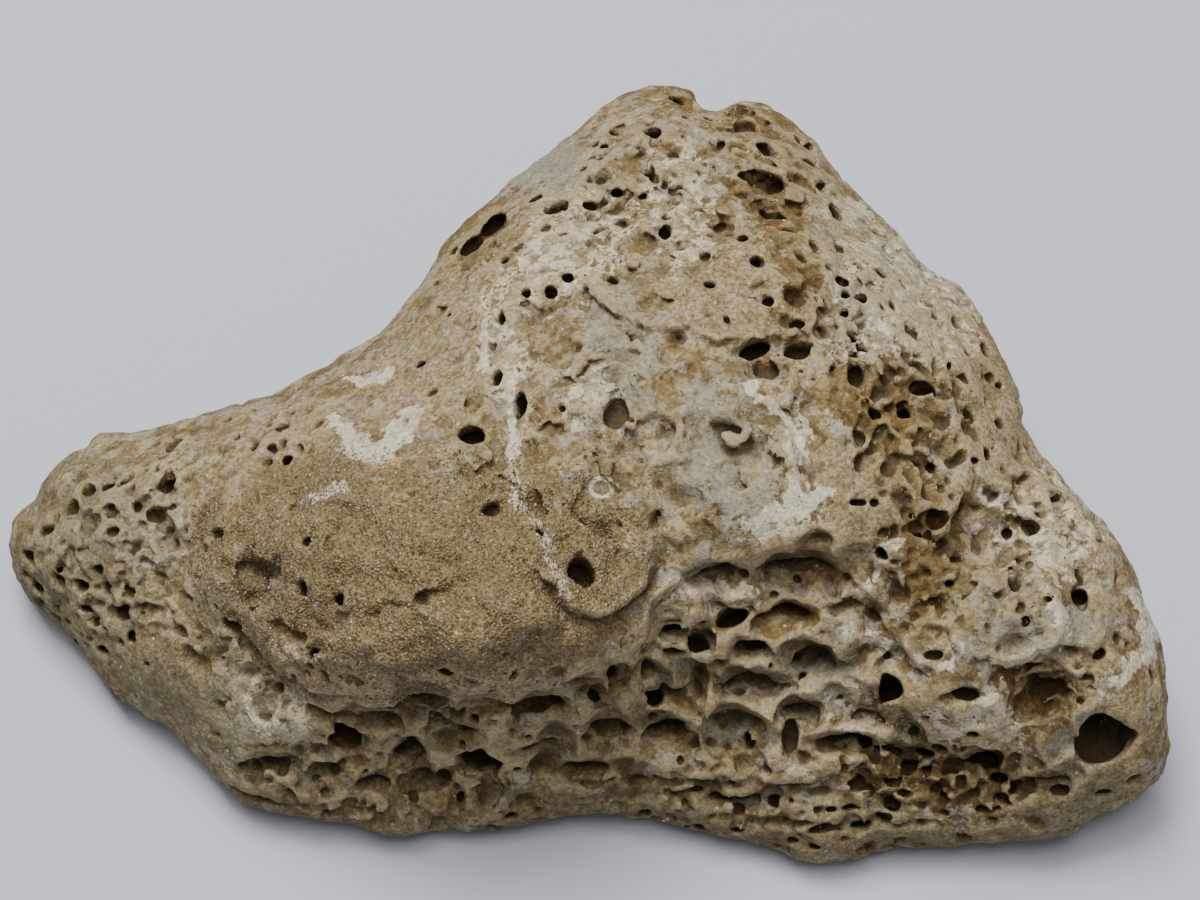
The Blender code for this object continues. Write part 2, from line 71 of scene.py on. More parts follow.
# The sighting point, and the axes of the sighting plane.
SIGHT_ELEVATION = math.radians(62)
SIGHT_DISTANCE = 320.0
MIDDLE = np.array([2.2, -4.2, 20.0])
RIGHT = np.array([1.0, 0.0, 0.0])
UP = np.array([0.0, math.sin(SIGHT_ELEVATION), math.cos(SIGHT_ELEVATION)])
TOWARD = np.array([0.0, -math.cos(SIGHT_ELEVATION), math.sin(SIGHT_ELEVATION)])
EYE = MIDDLE + SIGHT_DISTANCE * TOWARD

# The outline from the sighting point, clockwise from the nose: (across, up).
OUTLINE = [
    (-59, -9.5), (-58.6, -6.8), (-56.4, -5.2), (-55.6, -3.4), (-53.4, -1.2), (-51.9, -0.6), (-51, -0.4),
    (-50, 1.2), (-46, 1.4), (-42.5, 2.5), (-37, 4.3), (-33, 5.2), (-29.7, 7.2), (-26, 9.2), (-22, 11.5),
    (-19.6, 14), (-17.6, 16.8), (-15.8, 20), (-13.2, 23), (-10.2, 25.2), (-8.5, 27.2), (-5.4, 29.4),
    (-2.3, 32), (0.2, 34.6), (4, 36), (7.5, 36.2), (9.5, 35.7), (9.9, 34.4), (11.6, 33.7), (13.5, 34.7),
    (16.5, 34.7), (19.2, 32.8), (22, 30), (23.6, 27.4), (26.8, 24.6), (29.8, 21.6), (31.4, 18.9),
    (33, 17.5), (35.5, 16.6), (37.6, 14), (39.4, 10.4), (42.4, 4.6), (42.5, 3.1), (43.2, 1.6),
    (45.4, -1.5), (48.6, -5.4), (52, -9.4), (54.4, -14.2), (56.4, -19.6), (57, -24), (56.9, -27.4),
    (57.3, -29.8), (56.2, -32.6), (53, -35), (49.2, -36.7), (46.6, -38.6), (41, -39.2), (34, -39.7),
    (28.4, -39.9), (25, -41.3), (20.6, -41.5), (16.6, -39.8), (12, -38.7), (6, -37.2), (-1, -36.7),
    (-6, -37.2), (-11, -38.2), (-16.5, -38.1), (-20, -39.2), (-24.5, -38), (-30.5, -37), (-36, -35.3),
    (-38.8, -32.6), (-42.4, -28.6), (-47.2, -25.8), (-50.2, -22.8), (-53.4, -18.7), (-56.8, -15.4),
    (-58.5, -12.6),
]
OUTLINE_STEPS = 3

# The radius to which the face turns away at the outline, from the foot of the flank up.
EDGE_ROUND_UP, EDGE_ROUND = [-36.0, -22.0], [3.0, 7.0]
# Over how many of the outline's steps, either way, the edge's height is evened out.
EDGE_EVENED = 5
# How far in from its edge the underside curves down to the ground, and the lowest that the edge comes.
UNDERCUT = 12.0
LOWEST_EDGE = 2.4
# How widely the side blends into the underside.
BLEND = 3.0
# How far the edge is first set out, to make up for what the blend takes.
OUTSET = 0.6
# How far the body first goes below the ground, before it is cut off flat there.
BASE_SPARE = 0.5

# Heights of the face above the ground: (across, up, height).
FACE_HEIGHTS = [
    # the back lobes
    (5, 34, 27), (16, 33, 26.5), (-4, 27, 28.5), (8, 27, 32), (19, 27, 30), (26, 23, 27),
    # the upper slope
    (-15, 19, 27), (-6, 19, 32.5), (6, 18, 35.5), (18, 18, 35), (28, 18, 31), (34, 14, 27.5), (-25, 8, 26),
    (-15, 11, 31), (-4, 10, 36.5), (8, 9, 38.5), (20, 10, 38), (30, 10, 34.5), (38, 10, 28.5),
    # the crown
    (-49, 0, 17), (-40, 2, 21.5), (-30, 3, 27), (-20, 2, 33), (-8, 1, 37.5), (4, 1, 38.5), (16, 1, 38.5),
    (26, 1, 37), (36, 1, 32.5), (42, 0, 28),
    # the nose, the sandy mound, the middle basin and the right shoulder
    (-57, -9, 15), (-50, -7, 19.5), (-40, -7, 25), (-30, -7, 32), (-18, -7, 37.5), (-6, -7, 38),
    (6, -7, 36.8), (18, -7, 37), (28, -7, 35.2), (38, -7, 32), (48, -9, 27), (-54, -15, 13),
    (-45, -15, 19.5), (-35, -15, 27), (-25, -15, 34.5), (-15, -15, 38), (-5, -15, 36.5), (4, -15, 33),
    (14, -15, 29.5), (24, -15, 29.5), (34, -15, 30), (44, -15, 28.5), (52, -15, 24.5), (-47, -21, 13),
    (-40, -21, 18.5), (-32, -21, 25), (-22, -21.5, 33), (-12, -21.5, 34.5), (-2, -21, 31), (8, -21, 24),
    (18, -21, 23.5), (28, -21, 25), (38, -21, 27), (48, -21, 25.5), (55, -21, 21),
    # the front flank, and its lip above the ground
    (-41, -27, 11.5), (-34, -27, 16.5), (-26, -27, 19.5), (-16, -27, 19), (-6, -27, 18.5), (4, -27, 17.5),
    (14, -27, 17), (24, -27, 18), (34, -27, 20), (44, -27, 21.5), (53, -27, 19), (-35, -33, 9),
    (-26, -33.5, 10), (-16, -33.5, 10), (-6, -33.5, 9.5), (4, -32.5, 10.5), (14, -32.5, 10.5),
    (24, -33, 10.5), (34, -33, 11.5), (44, -33, 13), (52, -32, 13.5), (-20, -38, 6.5), (-10, -37, 6),
    (4, -36, 6.5), (20, -39.5, 6), (34, -38, 7), (45, -37, 9),
]

# Hollows of the face: (across, up, half width, half height, tilt in degrees, depth).
SCOOPS = [
    # the left slope below the nose
    (-34.5, -13, 2.8, 2.9, 0, 2.3), (-36.2, -18.9, 3, 1.4, -25, 2.6), (-31, -18.9, 3.2, 1.1, -30, 1.9),
    (-32.5, -24.4, 4.6, 3.6, 20, 2.1),
    # the upper face
    (-12.5, 21, 3.9, 1.9, 40, 3.4), (30.5, 5, 3.9, 3, 0, 1.8), (32.8, -7.2, 1.5, 1.7, 0, 3),
    (17, 7.8, 2.2, 1.6, 0, 1), (7.5, -6.5, 4.4, 3.4, 15, 1), (-6.3, -5.6, 1, 1.9, 15, 1.6),
    (-22, 1.6, 3.4, 1.6, 10, 1.2), (4.3, 21, 1.8, 1.6, 0, 1.2), (-5.5, 15, 2.6, 2, 30, 1),
    # the right shoulder
    (38.5, -9, 4.6, 3.6, -20, 2.2), (41, -17.8, 3.6, 2, -20, 1.6), (48, -14.8, 1.5, 1.3, 0, 1.6),
]

# Alcoves of the front flank, which run in level: (across, up, half width, half height, depth).
ALCOVES = [
    # under the rim of the sandy mound
    (-22.5, -27, 2.6, 1.2, 2.6), (-17.5, -25.7, 2.9, 2.3, 4.2), (-11.8, -25.6, 3, 1.3, 3),
    (-6, -26.2, 3.3, 2.2, 4.2), (-2, -23.6, 2, 1.2, 2.6), (1.5, -22.4, 1.6, 1.3, 2.6),
    # the upper row
    (11.5, -12.6, 3.6, 1.5, 2.4), (19.3, -13, 4.6, 2.8, 4.6), (18.8, -16.8, 3.2, 2.3, 4.2),
    (24, -15.7, 2.4, 1.3, 2.4), (7.2, -17.8, 1.6, 1.1, 3),
    # the second row
    (15.2, -20.4, 2.3, 1.8, 3.2), (21.2, -21.7, 3.9, 2.6, 3.6), (15.5, -24.3, 4.6, 2.4, 3.8),
    (6.7, -25.3, 3, 2.4, 3.2), (29.3, -24.4, 1.4, 1.7, 4.2), (36.5, -25, 2.6, 1.2, 1.8),
    (44.5, -25.6, 3.3, 2.8, 3.2),
    # the third row
    (-19, -31, 2.2, 2.8, 4.2), (-14.5, -28.4, 3.1, 1.5, 3.2), (-6.4, -30.4, 3.1, 1.2, 2.2),
    (1.3, -28.7, 3.3, 2.7, 4.2), (6.5, -28.9, 3.6, 2.8, 4.2), (13.5, -28.5, 3.7, 3.2, 4),
    (20, -26.6, 2.9, 2, 3.8), (24.5, -29.8, 3.4, 1.8, 3.6), (27, -27.2, 3.6, 1.3, 2),
    # the lowest row
    (-33.2, -31.5, 3.4, 1.3, 2.6), (-28, -32.6, 2.4, 1.2, 1.6), (-22.4, -33.8, 2.6, 1.4, 2.6),
    (-17, -33.9, 2.6, 2, 2.6), (-1, -32, 3.7, 1.6, 3.4), (31, -31, 3, 1.3, 2.6),
    (38, -31.6, 3.2, 1.4, 2.8), (45, -33.5, 2.8, 1.2, 1.8),
]

# Round holes that worms and sponges bored: (across, up, half width, half height, tilt, depth).
HOLES = [
    # the nose
    (-55.3, -8, 1.1, 0.5, -10, 2), (-57, -11, 1.2, 0.6, -40, 2), (-54.2, -13, 0.9, 0.8, 0, 3),
    (-51.5, -13.6, 0.8, 0.6, 0, 2.5), (-56.2, -13.8, 0.7, 0.6, 0, 2), (-49.5, -14, 0.5, 0.5, 0, 2),
    (-47, -14.1, 0.45, 0.25, 0, 1.5), (-52.8, -5.8, 1, 0.7, 0, 2), (-51.2, -4, 0.7, 0.5, 0, 2),
    (-49.3, -3.6, 0.7, 0.7, 0, 3.5), (-47.8, -3.2, 0.7, 0.4, 0, 1.5), (-43.4, -3.1, 0.9, 0.9, 0, 4),
    (-44.5, -6.5, 0.8, 0.7, 0, 2), (-49, -5.6, 0.6, 0.3, 0, 1.5), (-49, -6.6, 0.4, 0.25, 0, 1.2),
    (-46.2, -5.5, 0.3, 0.4, 0, 1.5), (-48.8, -8.2, 0.8, 0.4, 0, 1.5), (-42.8, -5.6, 0.25, 0.3, 0, 1.2),
    (-44.3, -1.6, 0.2, 0.2, 0, 1), (-42.7, 0.7, 1.1, 0.7, -35, 1.6), (-50.3, -12.1, 0.6, 0.4, 0, 2),
    (-51.5, -16, 0.8, 0.4, 0, 2), (-48.2, -16.4, 0.7, 0.7, 0, 2.5), (-50.5, -17.3, 0.5, 0.3, 0, 1.5),
    (-53.2, -17.2, 0.5, 0.3, 0, 1.5), (-47, -18.7, 0.5, 0.6, 0, 3), (-49.7, -20.1, 0.7, 0.4, 0, 3),
    (-45.3, -21.5, 0.3, 0.25, 0, 1.2), (-52.5, -19, 0.4, 0.3, 0, 1.2), (-38.5, -8.4, 1.1, 0.4, 0, 1.2),
    # the upper left edge
    (-34.8, 3.9, 0.6, 0.3, 0, 1.2), (-37.3, 3, 0.4, 0.25, 0, 1.2), (-31.9, 2.3, 0.7, 0.35, -10, 1.5),
    (-34.5, 0.4, 0.4, 0.25, 0, 1.5), (-31.7, 0.7, 0.35, 0.3, 0, 1.5), (-32.9, 0.3, 0.3, 0.4, 0, 1.5),
    (-31.3, -0.9, 0.5, 0.45, 0, 3), (-33.3, -1, 0.4, 0.2, 0, 1.5), (-30.8, -5.6, 0.25, 0.6, 0, 1.5),
    (-29.5, -9.3, 0.25, 0.35, 0, 1.5), (-29.8, -13.8, 0.6, 0.8, 0, 2.5), (-26.2, -15, 0.6, 0.5, 0, 3),
    (-18, 8.6, 0.45, 0.3, 0, 2), (-17.8, 14.7, 0.6, 0.45, 0, 0.6), (-15.2, 13.5, 0.4, 0.3, 0, 1.5),
    (-16.8, 5.8, 0.5, 0.45, 0, 1.2), (-16.5, 16.6, 0.4, 0.3, 0, 2), (-14.7, 20, 0.35, 0.5, 0, 2),
    (-9.6, 18.9, 0.45, 0.4, 0, 2),
    # the left slope and the mound
    (-34.7, -15.7, 0.35, 0.3, 0, 1.5), (-28.7, -20.3, 0.6, 0.5, 0, 4), (-32, -23.7, 0.35, 0.3, 0, 1),
    (-30.7, -22.7, 0.2, 0.2, 0, 1), (-25.3, -29.3, 1.8, 1.7, 0, 6), (-35.5, -31.6, 0.4, 0.25, 0, 1),
    (-17.8, -15, 0.6, 0.5, 0, 1.2),
    # the middle
    (-12.9, 1.7, 1.2, 1, -20, 5), (-8.1, 4.5, 0.7, 1.2, 0, 5), (-10.4, 7.2, 0.6, 0.6, 0, 4),
    (1.4, 4, 1.3, 1.3, 0, 2.6), (-10.9, -5.8, 0.9, 0.5, 40, 2.5), (-5.9, -8, 0.4, 0.6, 0, 4),
    (-1.7, -12.3, 1.4, 1.3, 0, 5), (-2.3, 10.2, 0.3, 0.4, 0, 1.5), (-3.7, 4.2, 0.4, 0.25, 0, 1.2),
    # the back lobes
    (5.3, 31.9, 1, 0.7, -25, 4), (4.8, 28, 0.6, 0.9, 0, 5), (4.5, 32.8, 0.4, 0.3, 0, 1.5),
    (-0.4, 30.6, 0.25, 0.3, 0, 1.5), (0.3, 30.4, 0.25, 0.25, 0, 1.5), (-1.1, 27.3, 0.3, 0.5, 0, 1.5),
    (1.6, 25.7, 0.6, 0.4, 0, 1.5), (-1, 24.5, 0.7, 0.4, 0, 2), (-4.5, 24.3, 1.2, 0.6, 20, 3),
    (0, 22.1, 0.5, 0.3, 0, 1.5), (2, 23, 0.35, 0.25, 0, 1.5), (6.5, 22, 0.55, 0.6, 0, 3.5),
    (6.6, 23.3, 0.4, 0.25, 0, 1.5), (7.5, 21.3, 0.25, 0.2, 0, 1.2), (9, 21.4, 0.15, 0.2, 0, 1.2),
    (7.7, 25, 0.6, 0.6, 0, 0.5), (4.3, 21, 0.5, 0.5, 0, 0.5), (9.7, 22.8, 0.6, 0.6, 0, 0.5),
    (12, 30.7, 0.5, 0.6, 0, 2.2), (8, 35.3, 0.8, 0.5, 0, 2.2), (10.8, 33.2, 0.6, 0.4, 0, 2),
    (14.5, 32.8, 1, 0.8, 0, 2.6), (16.5, 30.1, 0.7, 0.65, 0, 4.5), (18.5, 30.2, 1, 0.2, 0, 0.8),
    (17.9, 26.7, 0.7, 0.5, 0, 3.5), (23.6, 23.8, 0.7, 1, 0, 4), (22, 26.3, 0.3, 0.6, 0, 2),
    (14.2, 21.3, 0.4, 0.45, 0, 3), (16, 21.2, 0.6, 0.4, 0, 0.6), (21.5, 20.5, 0.4, 0.7, 0, 1.6),
    (20, 19.3, 0.4, 0.5, 0, 1.6), (8.2, 20.3, 0.4, 0.3, 0, 1.6), (10.4, 19.4, 0.5, 0.3, 0, 1.6),
    (15.7, 19, 0.65, 0.45, 0, 3), (11.1, 16.6, 0.55, 0.55, 0, 3.5), (16.8, 15, 0.5, 0.45, 0, 2.5),
    (1.2, 17, 0.5, 0.7, 15, 2.6), (-1, 17.6, 0.2, 0.25, 0, 1.5), (-7.5, 15.8, 0.5, 0.55, 0, 3),
    (-4.8, 15.8, 0.5, 0.5, 0, 3), (-3.2, 17.2, 0.5, 0.55, 0, 3), (-10, 13.2, 0.4, 0.8, 30, 3),
    (-10.9, 10.5, 0.2, 0.4, 30, 1.5), (7.7, 11.3, 1, 0.6, 0, 0.7), (12.8, 13.1, 0.3, 0.25, 0, 1.5),
    (3.4, 14.5, 0.7, 0.6, 0, 0.5),
    # the upper right
    (19.9, 10.3, 1.35, 1.3, 0, 4.5), (16.7, 8.2, 1.1, 1, 0, 2.6), (19.9, 12.9, 0.4, 0.4, 0, 1.6),
    (25.4, 11.5, 0.75, 0.6, 0, 4), (24.2, 16.9, 0.6, 0.45, 0, 3), (24.6, 15.5, 0.4, 0.4, 0, 2.5),
    (26.2, 15.2, 0.5, 0.45, 0, 3), (24.5, 13.8, 0.3, 0.4, 0, 2), (28.2, 17.7, 0.6, 0.7, 0, 2),
    (26.2, 18.7, 0.6, 0.7, 0, 1), (29.3, 14.5, 0.4, 0.6, 0, 2), (30.5, 16.4, 0.4, 0.6, 0, 1.2),
    (32.8, 15, 0.6, 0.8, 0, 1), (35.6, 12.8, 0.6, 0.7, 0, 1), (35.3, 8, 0.6, 0.7, 0, 1),
    (23.7, 19.9, 0.4, 0.2, 0, 1.5), (25.7, 7.5, 0.7, 1, 0, 4.5), (28.9, 7.4, 0.6, 0.7, 0, 4),
    (32, 6.2, 1.1, 0.8, 0, 4), (27.7, 3.8, 0.75, 0.7, 0, 4.5), (30.6, 3.8, 0.8, 0.9, 0, 4.5),
    (29.7, 2.3, 0.45, 0.4, 0, 3), (33.7, -1.7, 0.5, 0.4, 0, 2.5), (32.8, -4, 0.5, 0.8, 0, 3.5),
    (33.5, -7, 1, 1, 0, 2.5), (31.7, -8.5, 0.4, 0.4, 0, 4), (32.8, -8.2, 0.3, 0.3, 0, 4),
    (33.3, -9.1, 0.35, 0.3, 0, 4), (28.2, -10.7, 0.55, 0.6, 0, 3.5), (25.8, -5.3, 0.9, 0.25, 0, 1.6),
    (34.9, -13.2, 0.5, 0.4, 0, 3), (27.5, -5.3, 0.3, 0.25, 0, 1.5), (26.2, 8.5, 0.3, 0.3, 0, 2),
    (30.5, 9.8, 0.3, 0.4, 0, 1), (31.5, 11.5, 0.35, 0.45, 0, 1), (33.5, 10.5, 0.3, 0.4, 0, 1),
    # the right
    (38.5, 10.2, 0.6, 1.1, 0, 2), (39.3, 7.3, 0.5, 0.5, 0, 1.5), (40, 2.6, 0.7, 0.3, 0, 1.5),
    (38.8, -0.5, 0.4, 0.5, 0, 2), (42.4, -7.6, 0.85, 0.7, 0, 4.5), (43.7, -6.4, 0.25, 0.25, 0, 1.5),
    (41.5, -13, 0.55, 0.95, 0, 4.5), (42.8, -17, 0.4, 0.5, 0, 2), (48, -12.9, 0.4, 0.7, 0, 2.6),
    (47.8, -15.2, 1.2, 1.1, 0, 0.9), (48.1, -14.8, 0.6, 0.55, 0, 3), (51.8, -12.7, 0.4, 0.3, 40, 1.6),
    (51.8, -19, 0.4, 0.5, 0, 1), (50, -20.5, 0.65, 0.45, 0, 2.2), (55.3, -22.6, 0.8, 0.3, -40, 1),
    (53.5, -33, 0.9, 0.6, 0, 0.8), (40.7, -8.3, 0.4, 0.35, 0, 1.2), (41.6, -11, 0.25, 0.25, 0, 1.2),
    (35.5, -11.1, 0.4, 0.4, 0, 1), (45.2, -2.8, 0.3, 0.7, 40, 2.2), (45.8, -4.7, 0.5, 0.35, 40, 2.4),
    (47.5, -7.5, 0.7, 0.25, 40, 0.8), (50, -9.1, 0.5, 0.3, 0, 1), (31.4, -16.7, 0.4, 0.35, 0, 1.2),
    # the front flank
    (-11.9, -31, 1.9, 2, 0, 6), (5.6, -24.7, 0.75, 0.9, 0, 5), (7.5, -20.6, 0.9, 0.6, -10, 4.5),
    (9.8, -19.3, 1.15, 0.85, -10, 5), (13.1, -16.9, 1.6, 0.8, 25, 5), (14.7, -29.4, 0.55, 0.8, 0, 4.5),
    (18.7, -29.4, 0.7, 1.7, -5, 4), (16.5, -32.1, 0.7, 0.6, 0, 1.5), (26.2, -28.7, 0.6, 0.6, 0, 3),
    (29.3, -24.4, 1.1, 1.6, 15, 4), (20.3, -22.3, 0.45, 0.45, 0, 2), (5.6, -26.8, 0.4, 0.3, 0, 1.2),
    (19.7, -12.8, 0.35, 0.3, 0, 1.5), (17.4, -14.4, 0.4, 0.25, 0, 1.2), (8, -31, 0.2, 0.35, 0, 1),
    (-0.7, -24.7, 0.7, 0.3, -25, 3), (1.2, -22.2, 0.8, 0.8, 0, 2.6), (-12.5, -26.8, 0.4, 0.35, 0, 1.5),
    (-13.8, -34.7, 0.35, 0.5, 0, 2), (-18.4, -34.8, 0.5, 0.4, 0, 1.6), (-9, -36.7, 0.6, 0.3, 0, 2.2),
    (-10, -36.1, 0.3, 0.25, 0, 1.5), (-15.5, -22.3, 0.7, 0.5, 0, 2), (-4, -23.3, 0.6, 0.4, 0, 2),
    (7.2, -17.6, 1.1, 0.6, 0, 3), (17.1, -21.7, 0.3, 0.25, 0, 2), (33.3, -20.5, 0.9, 0.4, 10, 1.6),
    (28.8, -20.6, 0.4, 0.25, 0, 1.2), (36.6, -24.5, 1.3, 0.6, 0, 1.8), (37.3, -28.5, 0.4, 0.3, 0, 1.4),
    (46.3, -23.4, 0.5, 0.3, 0, 1.5), (48, -25, 0.3, 0.2, 0, 1.5),
    # the porous band
    (31.2, -32, 0.8, 0.6, 0, 3.5), (32.6, -32.4, 0.4, 0.6, 0, 3.5), (29.3, -33.3, 0.5, 0.4, 0, 2.5),
    (35.5, -31.8, 0.5, 0.4, 0, 2.5), (34.3, -35, 0.4, 0.4, 0, 2.5), (38.5, -31, 1.5, 0.5, -5, 3),
    (39.7, -32.8, 0.9, 0.45, 0, 3.5), (40.3, -34.8, 1.1, 0.35, -10, 2.5), (36.2, -33.2, 0.4, 0.7, 0, 2.2),
    (29.5, -30, 1.7, 0.3, -10, 2.5), (32.5, -30.2, 1.2, 0.25, -10, 2), (28.8, -31, 1, 0.25, 0, 1.6),
    (39, -36.2, 1.1, 0.3, 8, 2.5), (41.2, -34, 0.5, 0.35, 0, 2), (33.5, -34, 0.5, 0.4, 0, 2),
    (30.8, -34.5, 0.4, 0.3, 0, 1.6), (37.5, -34.5, 0.4, 0.35, 0, 2), (46, -34, 0.8, 0.4, 0, 1.8),
    (50.5, -34.3, 0.7, 0.4, 0, 2), (41.5, -30.7, 0.5, 0.6, 0, 1.8),
    # the lower lip
    (12.8, -34.9, 1.8, 0.35, 0, 2.5), (14, -36.1, 0.45, 0.4, 0, 2.5), (17.2, -35.1, 0.55, 0.5, 0, 3),
    (4.5, -36.2, 0.6, 0.3, 0, 2), (13.7, -38.3, 0.6, 0.35, 0, 2.5), (9.7, -34, 0.8, 0.25, 0, 1.6),
    (23.1, -35.9, 0.5, 0.25, 0, 1.8), (25, -36, 0.7, 0.25, 0, 2), (29.1, -35.4, 0.7, 0.6, 0, 2.5),
    (28.4, -36.7, 0.9, 0.45, 0, 3), (19.5, -39.2, 0.4, 0.2, 0, 1.5), (21.4, -39.8, 0.5, 0.25, 0, 1.5),
    (13, -33.3, 0.4, 0.2, 0, 1.2), (26, -37.6, 1.1, 0.3, 8, 2.5), (22, -38, 1.2, 0.25, 5, 2),
    # the big hole of the right end
    (50.4, -29, 2.6, 2.9, -20, 7),
    # the rusty cavities of the back lobes and under the cap
    (16.2, 27, 2.4, 1.15, -8, 3.4), (17.6, 23.8, 1.5, 0.65, 0, 3), (14.6, 32.4, 1.2, 1.1, 0, 2.2),
    (16.6, 30.2, 1.1, 0.7, -5, 3), (-10.6, 22.3, 1.6, 0.75, 40, 4), (-12.8, 20.4, 1.2, 0.6, 40, 2.5),
    (15.6, 9.8, 1.7, 0.65, 20, 3.4), (19.6, 15.4, 1.1, 0.9, 0, 2.2), (14, 34.4, 0.8, 0.5, 0, 2),
    (23.8, 23.8, 0.8, 1.1, 0, 3), (21, 28.8, 0.9, 0.5, 0, 2.2), (-6.5, 25.2, 0.8, 0.4, 20, 2.2),
]

# Grooves that undercut the ledges: the line each follows, (across, up), and its half width and depth.
GROOVES = [
    ([(-28, -26.3), (-24, -27.2), (-20, -26), (-14, -26.8), (-7, -25.2), (0, -24.2), (5.5, -21.5)],
      0.9, 1.4),
    ([(-1, -33.3), (6, -33), (13, -33.6), (20, -33.8), (27, -33), (34, -33.6)], 0.6, 1.1),
    ([(13.5, -37), (19, -37.3), (25, -38), (31, -37.6), (37, -37)], 0.4, 1),
    ([(-38, -33.4), (-33, -35.2), (-27, -36.2), (-20, -36.6)], 0.6, 1),
    ([(41, -28), (42.5, -25.2), (45.5, -23.4), (49, -22.8)], 0.8, 1.2),
    ([(13.5, 10.8), (15.5, 10), (18, 9.4)], 0.6, 1.6),
    ([(48.5, -2.5), (46, -5.2), (44, -8), (42.6, -12.5)], 0.8, 1.4),
]
# How far apart the hollows are that make up a groove.
GROOVE_STEP = 1.7
# How much deeper niches are made than listed, and how steeply the bores under their arches rise.
NICHE_DEPTH = 1.4
ALCOVE_RISE = 0.25
# Niches grow shallower towards the outline and towards the foot, where the stone is thin.
NICHE_EDGE = 4.5
NICHE_HEIGHTS = (-2.0, 13.0)
# How far holes and pores are opened beyond their listed size, to make up for what the mesh fills in.
HOLE_OPENING = 0.12
# How far the lines of the face wander.
WANDER = 0.4
# How deep a hole may be, as a share of its height above the ground.
THIN = 0.4

# Steps of the face: the line each follows, how far the line's right side drops, and how far out that fades.
STEPS = [
    # the rim of the sandy mound, and of the plate beside it
    ([(-29, -24.5), (-24.5, -24.8), (-20, -24), (-14, -25), (-7, -23.4), (0, -22.3), (4.5, -19.5),
      (5.5, -17)], 1.2, 2.5),
    ([(-4.4, -14), (-2.5, -16.2), (0, -16.5), (2.5, -15.5), (4.5, -13.5), (5.5, -11), (5, -8.5)], 1.1, 3.5),
    ([(-4.2, -12), (-5.5, -8.5), (-8.4, -4.8), (-8.3, 2), (-9, 7), (-11.3, 12)], 0.5, 3),
    ([(-35.5, -1.5), (-37.5, -5), (-39.5, -9), (-41, -12.5), (-40, -15)], 0.9, 4),
    # the cap of the upper face
    ([(0, 15), (4, 13.2), (9, 12), (14, 10.2), (17.5, 9.8), (20.5, 11.5), (22.8, 15), (23.5, 18.5)], 1, 4),
    # the ledge above the upper alcoves
    ([(4, -19), (5.5, -15.5), (9, -12.8), (14.5, -11), (17, -9.8), (20, -9.5), (23.5, -11.5), (27, -15),
      (30, -19), (32, -21)], 1.2, 3.5),
    # the right shoulder
    ([(34, -8), (35.5, -6), (38.5, -4.5), (41.5, -6.5), (42.5, -8)], 0.6, 3),
    ([(40.5, -26.2), (38.5, -24), (39, -21.8), (42, -21), (45.5, -19.5), (46.2, -18), (46, -16)], 0.8, 4),
    ([(43, -2), (40, 1), (38.5, 5), (35, 12), (33.5, 17)], 0.5, 3),
    # the foot of the flank
    ([(0, -34.2), (6, -33.3), (14, -33.6), (20, -33.8), (27, -34.2), (36, -35.6), (44, -36.2)], 0.9, 2.5),
    ([(-37.5, -33.5), (-32, -35.2), (-27, -36.3), (-20, -37)], 0.8, 2),
]

# Shallow dishes of the face: (across, up, half width, half height, tilt, depth).
DISHES = [
    (1, 9, 3, 3.5, 0, 0.5), (-13, -2, 3, 2.2, 0, 0.4), (21, 0, 1.7, 3.8, 0, 0.7),
    (8, 6.5, 3.2, 2.4, 20, 0.5), (-5, 10, 2.5, 3, 0, 0.4), (26, -12, 3, 2.5, 0, 0.5),
    (45, -11, 4, 4, 0, 0.5), (36, -15, 3, 3, 0, 0.4), (-30, -1, 4, 2.5, 0, 0.5), (-44, -10, 3, 4, 0, 0.4),
    (6, 24, 3, 2.5, 0, 0.5), (24, 12, 3, 2.5, 0, 0.4), (-25, -8, 3.5, 3, 0, 0.4), (-20, -18, 5, 3, 0, 0.5),
    (-9, -19, 3, 2.5, 0, 0.4), (0.2, -3.7, 0.7, 0.7, 0, 0.12), (12.3, -0.4, 4.5, 4.6, 0, 0.8),
    (5.8, 2.2, 2.4, 2.5, 0, 0.6), (6.8, -3.8, 2.7, 2.3, 0, 0.6), (39.2, -8, 3.5, 4.4, 20, 0.8),
    (-16.2, -15, 2, 1.4, 0, 0.5), (-9.5, 3, 2.2, 4, 0, 0.5), (-3, 1, 2.6, 2.2, 20, 0.5),
    (2.5, 17.5, 3.2, 2, 10, 0.4),
]

# How much deeper the dishes are made than listed, for their rims to show.
DISH_DEPTH = 1.6

